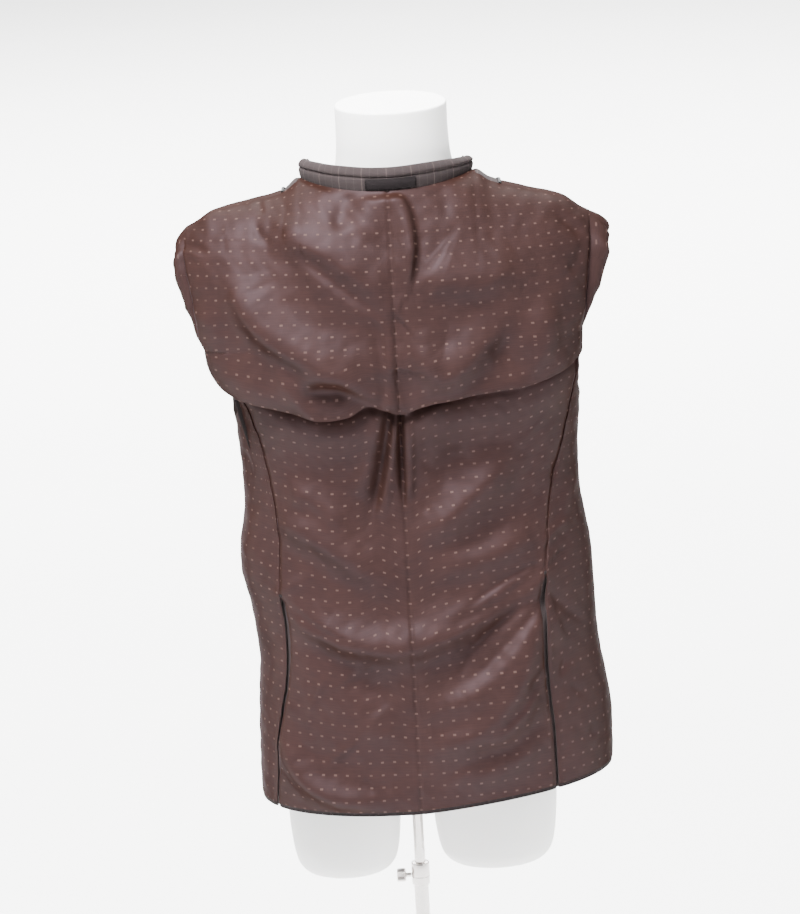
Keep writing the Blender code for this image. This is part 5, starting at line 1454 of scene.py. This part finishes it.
def stitches(name, middle, along, outwards, half, radius):
    """One capsule for each middle point, lying along its direction: rings of (1 - t*t) ** 0.3 radius."""
    along = unit(along)
    beside = unit(np.cross(along, outwards))
    above = np.cross(beside, along)
    t = np.sin(np.linspace(-1.54, 1.54, 7))[None, :, None, None]
    turn = np.linspace(0, 2 * np.pi, 6, endpoint=False)[None, None, :, None]
    thin = radius * np.maximum(1 - t**2, 0.0004) ** 0.3
    middle, along, beside, above = (part[:, None, None, :] for part in (middle, along, beside, above))
    rings = middle + along * t * half + (beside * np.cos(turn) + above * np.sin(turn)) * thin
    index = np.arange(rings[..., 0].size).reshape(rings.shape[:3])
    index = np.concatenate([index, index[:, :, :1]], axis=2)
    faces = np.stack([index[:, :-1, :-1], index[:, :-1, 1:], index[:, 1:, 1:], index[:, 1:, :-1]], -1)
    return mesh_piece(name, rings.reshape(-1, 3), faces.reshape(-1, 4), [THREAD], COAT_BODY)


def label_stitches():
    """Stitches along a rectangle just inside the label's edge."""
    wide, tall = LABEL_SIZE[0] / 2 - 0.0008, (LABEL_SIZE[1] - 0.0012) / 2 - 0.0008
    across = np.arange(-wide, wide, STITCH_STEP)
    up = np.arange(-tall + STITCH_STEP / 2, tall, STITCH_STEP)
    u = np.concatenate([across, across, np.full(len(up), -wide), np.full(len(up), wide)])
    v = np.concatenate([np.full(len(across), -tall), np.full(len(across), tall), up, up])
    seam, out = neck_seam(np.degrees(np.arcsin((LABEL_MIDDLE + u - CENTRE_X) / NECK_HALF_WIDTH)))
    beside, _ = neck_seam(np.degrees(np.arcsin((LABEL_MIDDLE + u + 0.001 - CENTRE_X) / NECK_HALF_WIDTH)))
    high = (LABEL_SIZE[1] + 0.0012) / 2 + v
    inward = smooth(high, COLLAR_PROFILE["up"][:4], COLLAR_PROFILE["in"][:4])
    middle = seam + out * (LABEL_LIFT + LABEL_CLOTH - inward)[:, None]
    middle[:, 2] += high
    upright = (np.arange(len(u)) >= 2 * len(across))[:, None]
    along = np.where(upright, [0.0, 0.0, 1.0], beside - seam)
    stitches("label_stitches", middle, along, out, STITCH_HALF, STITCH_RADIUS)


def vent_tack(side):
    """Rows of longer stitches across the seam, just above the vent's opening."""
    z = VENT_TOP[side] + 0.0012 + 0.0008 * np.arange(TACK_ROWS)
    hem, fold = HEM_Z + HEM_RISE_RIGHT / 2, FOLD_Z + 0.03
    level = FOLD_LEVEL * (z - hem) / (fold - hem)
    for _ in range(4):
        angle = seam_angle(side, "back", level)
        level = level + FOLD_LEVEL * (z - height(angle, level)) / (fold - hem)
    middle = body(angle, level, SEAM_DIP * 0.6)
    along = body(angle + 0.6, level) - body(angle - 0.6, level)
    stitches(name_of("vent_tack", side), middle, along, plain_normal(angle, level), TACK_HALF, TACK_RADIUS)


label_stitches()
for side in (LEFT, RIGHT):
    vent_tack(side)

# ---------------------------------------------------------------- torso form
# A smooth limbless torso of off-white shell, with a flat neck cap and two short thigh stubs, that
# the coat is pulled over.

FORM_SECTIONS = table(
    "z      centre half   back   front",
    (0.800, 0.000, 0.060, 0.050, 0.040),
    (0.812, 0.002, 0.118, 0.080, 0.068),
    (0.850, 0.003, 0.136, 0.095, 0.084),
    (0.910, 0.003, 0.138, 0.098, 0.088),
    (0.980, 0.003, 0.136, 0.092, 0.088),
    (1.060, 0.002, 0.131, 0.081, 0.088),
    (1.130, 0.002, 0.130, 0.077, 0.092),
    (1.200, 0.002, 0.140, 0.084, 0.098),
    (1.270, 0.003, 0.152, 0.096, 0.103),
    (1.330, 0.004, 0.162, 0.098, 0.100),
    (1.380, 0.005, 0.168, 0.092, 0.086),
    (1.412, 0.006, 0.163, 0.079, 0.069),
    (1.430, 0.008, 0.145, 0.068, 0.058),
    (1.443, 0.010, 0.120, 0.060, 0.053),
    (1.455, 0.012, 0.090, 0.056, 0.051),
    (1.470, 0.0135, 0.0700, 0.0540, 0.0520),
    (1.490, 0.0135, 0.0630, 0.0530, 0.0550),
    (1.520, 0.0135, 0.0605, 0.0530, 0.0580),
    (1.5525, 0.0135, 0.0605, 0.0530, 0.0590),
)
CAP_TILT, CAP_ROUND = 0.080, 0.0022
STUMPS = (((-0.081, 0.000), 0.063, 0.052, 0.683), ((0.088, 0.004), 0.070, 0.052, 0.684))
STUMP_TOP = 0.880
STUMP_PROFILE = table(
    "up     scale",
    (0.0000, 0.30),
    (0.0030, 0.62),
    (0.0100, 0.80),
    (0.0220, 0.90),
    (0.0500, 0.97),
    (0.0900, 1.00),
)


def form_finish():
    """Off-white moulded shell, satin smooth, with the finest orange-peel of its paint."""
    made, node, link, shader = finish_base(
        "form_shell", (0.92, 0.91, 0.90), 0.42, Specular_IOR_Level=0.4, Subsurface_Weight=0.05,
        Subsurface_Radius=(0.006, 0.005, 0.004),
    )
    where = node("TexCoord").outputs["Object"]
    cloud = ramped(node, link, noise(node, link, where, 7.0, 4.0), 0.3, 0.7)
    colour = mixed_colour(node, link, cloud, (0.91, 0.90, 0.885), (0.94, 0.935, 0.925))
    link(colour, shader.inputs["Base Color"])
    link(ramped(node, link, noise(node, link, where, 30.0), 0.3, 0.7, 0.38, 0.47), shader.inputs["Roughness"])
    raised(node, link, shader, noise(node, link, where, 420.0, 2.0), 0.00008, 0.3)
    return made


def form():
    """The torso's ovals and both stubs: three closed surfaces that run into one another."""
    turn = np.linspace(0, 2 * np.pi, 120, endpoint=False)[None, :]
    low, flank, top = FORM_SECTIONS["z"][[0, 1, -1]]
    z = np.concatenate([np.linspace(low, flank, 6)[:-1], np.linspace(flank, top - CAP_ROUND, 210)])[:, None]
    half, centre, back, front = (
        smooth(z, FORM_SECTIONS["z"], FORM_SECTIONS[name]) for name in ("half", "centre", "back", "front")
    )
    power = 2 / (2.25 - 0.25 * ease((z - 1.42) / 0.05))
    x = centre + half * np.sign(np.sin(turn)) * np.abs(np.sin(turn)) ** power
    y = -np.where(np.cos(turn) > 0, back, front) * np.sign(np.cos(turn)) * np.abs(np.cos(turn)) ** power
    tall = z + CAP_TILT * y * ease((z - 1.515) / 0.03)
    rings = [np.stack([x, y, tall], -1)]
    middle = np.array([FORM_SECTIONS["centre"][-1], 0.0, 0.0])
    for k in np.linspace(0, np.pi / 2, 7)[1:]:
        inset = CAP_ROUND * (1 - math.cos(k))
        last = rings[0][-1]
        spread = 1 - inset / np.linalg.norm(last[:, :2] - middle[:2], axis=1)
        lid = middle + (last - middle) * np.stack([spread, spread, np.ones_like(spread)], -1)
        lid[:, 2] += CAP_ROUND * math.sin(k)
        rings.append(lid[None])
    for share in (0.9, 0.6, 0.3, 0.02):
        lid = rings[6][0].copy()
        lid[:, :2] = middle[:2] + (lid[:, :2] - middle[:2]) * share
        lid[:, 2] = top + CAP_TILT * lid[:, 1]
        rings.append(lid[None])
    shapes = [np.concatenate(rings)]
    for (px, py), wide, deep, foot in STUMPS:
        length = STUMP_TOP - foot
        up = np.concatenate([np.linspace(0, 0.0220, 14), np.linspace(0.0220, length, 60)[1:]])[:, None]
        scale = smooth(up, STUMP_PROFILE["up"], STUMP_PROFILE["scale"])
        scale = scale - 0.06 * ease((up - 0.09) / (length - 0.09))
        scale = np.concatenate([[[0.01], [0.15]], scale, [[0.3], [0.01]]])
        up = np.concatenate([[[0.0], [0.0]], up, [up[-1], up[-1]]])
        shapes.append(np.stack([px + wide * scale * np.sin(turn), py - deep * scale * np.cos(turn),
                                foot + up + 0 * turn], -1))
    points, faces, start = [], [], 0
    for grid in shapes:
        rows, columns = grid.shape[:2]
        index = start + np.arange(rows * columns).reshape(rows, columns)
        index = np.concatenate([index, index[:, :1]], axis=1)
        faces.append(four_cornered(index).reshape(-1, 4))
        points.append(grid.reshape(-1, 3))
        start += rows * columns
    return mesh_piece("form_shell", np.concatenate(points), np.concatenate(faces), [form_finish()], COAT_BODY)


torso_form = form()
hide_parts("form")

# ---------------------------------------------------------------- stand
# A plated steel rod stands in the form and slides in a tube, where a clamp with a thumbscrew holds
# it. The tube is screwed into a round foot.

ROD_RADIUS, ROD_FOOT, ROD_TOP = 0.0060, 0.330, 0.850
TUBE_RADIUS, TUBE_BORE, TUBE_TOP = 0.0080, 0.00608, 0.684
CLAMP_Z, CLAMP_RADIUS = (0.664, 0.690), 0.0102
BASE_RADIUS, BASE_THICK = 0.165, 0.007


def steel_finish():
    """Warm plated steel, faintly brushed round and softly marked."""
    made, node, link, shader = finish_base(
        "plated_steel", (0.66, 0.62, 0.60), 0.24, Metallic=1.0, Anisotropic=0.4
    )
    where = node("TexCoord").outputs["Object"]
    brushed = noise(node, link, where, 900.0, 2.0, (0.06, 0.06, 1))
    marks = noise(node, link, where, 45.0, 4.0)
    link(ramped(node, link, marks, 0.35, 0.75, 0.18, 0.34), shader.inputs["Roughness"])
    share = ramped(node, link, marks, 0.3, 0.7)
    colour = mixed_colour(node, link, share, (0.62, 0.58, 0.56), (0.72, 0.69, 0.67))
    link(colour, shader.inputs["Base Color"])
    raised(node, link, shader, brushed, 0.00003, 0.5)
    return made


STEEL = steel_finish()


def turned(name, profile, body_name, axis="z", place=(0, 0, 0), sides=72, fluted=None):
    """A closed profile of (radius, height) points turned about Z, or laid along X.

    fluted gives a count, a depth and the radius beyond which the rim is knurled.
    """
    profile = np.array(profile, float)
    fine = []
    for (r1, z1), (r2, z2) in zip(profile, np.roll(profile, -1, axis=0)):
        steps = max(1, int(np.hypot(r2 - r1, z2 - z1) / 0.02))
        fine += [(r1 + (r2 - r1) * k / steps, z1 + (z2 - z1) * k / steps) for k in range(steps)]
    fine = np.array(fine)
    radius, tall = fine[:, :1], fine[:, 1:]
    turn = np.linspace(0, 2 * np.pi, sides, endpoint=False)[None, :]
    if fluted:
        count, deep, low = fluted
        radius = radius - deep * (0.5 + 0.5 * np.cos(count * turn)) * (radius >= low)
    grid = np.stack([radius * np.cos(turn), radius * np.sin(turn), tall + 0 * turn], -1)
    if axis == "x":
        grid = grid[..., [2, 1, 0]][:, ::-1]
    grid = grid + np.array(place)
    piece = surface(name + "_turned", grid, [STEEL], body_name, closed=True, sharp=40)
    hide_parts(name)


def rounded(radius, z, size, rising):
    """Four points of a rounded outer corner of a profile, walked upwards or downwards."""
    k = np.linspace(0, np.pi / 2, 4)
    points = [(radius - size + size * math.sin(a), z + (size - size * math.cos(a))) for a in k]
    return points if rising else [(r, 2 * z - h) for r, h in points[::-1]]


CORE = 0.00005
ROD_PROFILE = [
    (CORE, ROD_FOOT), *rounded(ROD_RADIUS, ROD_FOOT, 0.001, True), (ROD_RADIUS, ROD_TOP), (CORE, ROD_TOP),
]
TUBE_PROFILE = [
    (TUBE_BORE, BASE_THICK), (TUBE_RADIUS, BASE_THICK), *rounded(TUBE_RADIUS, TUBE_TOP, 0.0004, False),
    (TUBE_BORE, TUBE_TOP),
]
CLAMP_PROFILE = [
    (TUBE_RADIUS, CLAMP_Z[0]), *rounded(CLAMP_RADIUS, CLAMP_Z[0], 0.001, True),
    (CLAMP_RADIUS, CLAMP_Z[0] + 0.009), (CLAMP_RADIUS - 0.0004, CLAMP_Z[0] + 0.0094),
    (CLAMP_RADIUS, CLAMP_Z[0] + 0.0098), *rounded(CLAMP_RADIUS, CLAMP_Z[1], 0.002, False),
    (TUBE_BORE, CLAMP_Z[1]), (TUBE_BORE, TUBE_TOP), (TUBE_RADIUS, TUBE_TOP),
]
SCREW_PROFILE = [
    (CORE, -0.0270), (0.0060, -0.0270), (0.0072, -0.0264), (0.0075, -0.0255), (0.0075, -0.0185),
    (0.0072, -0.0176), (0.0060, -0.0170), (0.0030, -0.0165), (0.0026, -0.0161), (0.0026, -0.0106),
    (CORE, -0.0106),
]
SCREW_PLACE = (0, 0, sum(CLAMP_Z) / 2 - 0.002)
BASE_PROFILE = [
    (CORE, 0), (BASE_RADIUS - 0.001, 0), (BASE_RADIUS, 0.001),
    *rounded(BASE_RADIUS, BASE_THICK, 0.003, False),
    (0.0200, BASE_THICK), (0.0188, BASE_THICK + 0.002), (0.0180, BASE_THICK + 0.017),
    (0.0170, BASE_THICK + 0.020), (TUBE_RADIUS, BASE_THICK + 0.020), (TUBE_RADIUS, BASE_THICK),
    (CORE, BASE_THICK),
]
turned("rod", ROD_PROFILE, COAT_BODY)
turned("tube", TUBE_PROFILE, STAND_BODY)
turned("clamp", CLAMP_PROFILE, STAND_BODY)
turned("clamp_screw", SCREW_PROFILE, STAND_BODY, "x", SCREW_PLACE, 144, (36, 0.0005, 0.0071))
turned("base", BASE_PROFILE, STAND_BODY, sides=160)

# ---------------------------------------------------------------- buttons
# The two front buttons lie on the shell side, between the fastened fronts and the form.


def horn_finish():
    """Dark horn with cloudy streaks and a soft polish."""
    made, node, link, shader = finish_base("button_horn", (0.055, 0.040, 0.034), 0.32)
    cloud = noise(node, link, node("TexCoord").outputs["Object"], 160.0, 4.0, (1, 1, 0.3))
    streak = ramped(node, link, cloud, 0.35, 0.7)
    colour = mixed_colour(node, link, streak, (0.028, 0.020, 0.017), (0.120, 0.085, 0.062))
    link(colour, shader.inputs["Base Color"])
    return made


HORN = horn_finish()
for name in ("button_top", "button_low"):
    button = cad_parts[name]
    button.data.materials.clear()
    button.data.materials.append(HORN)
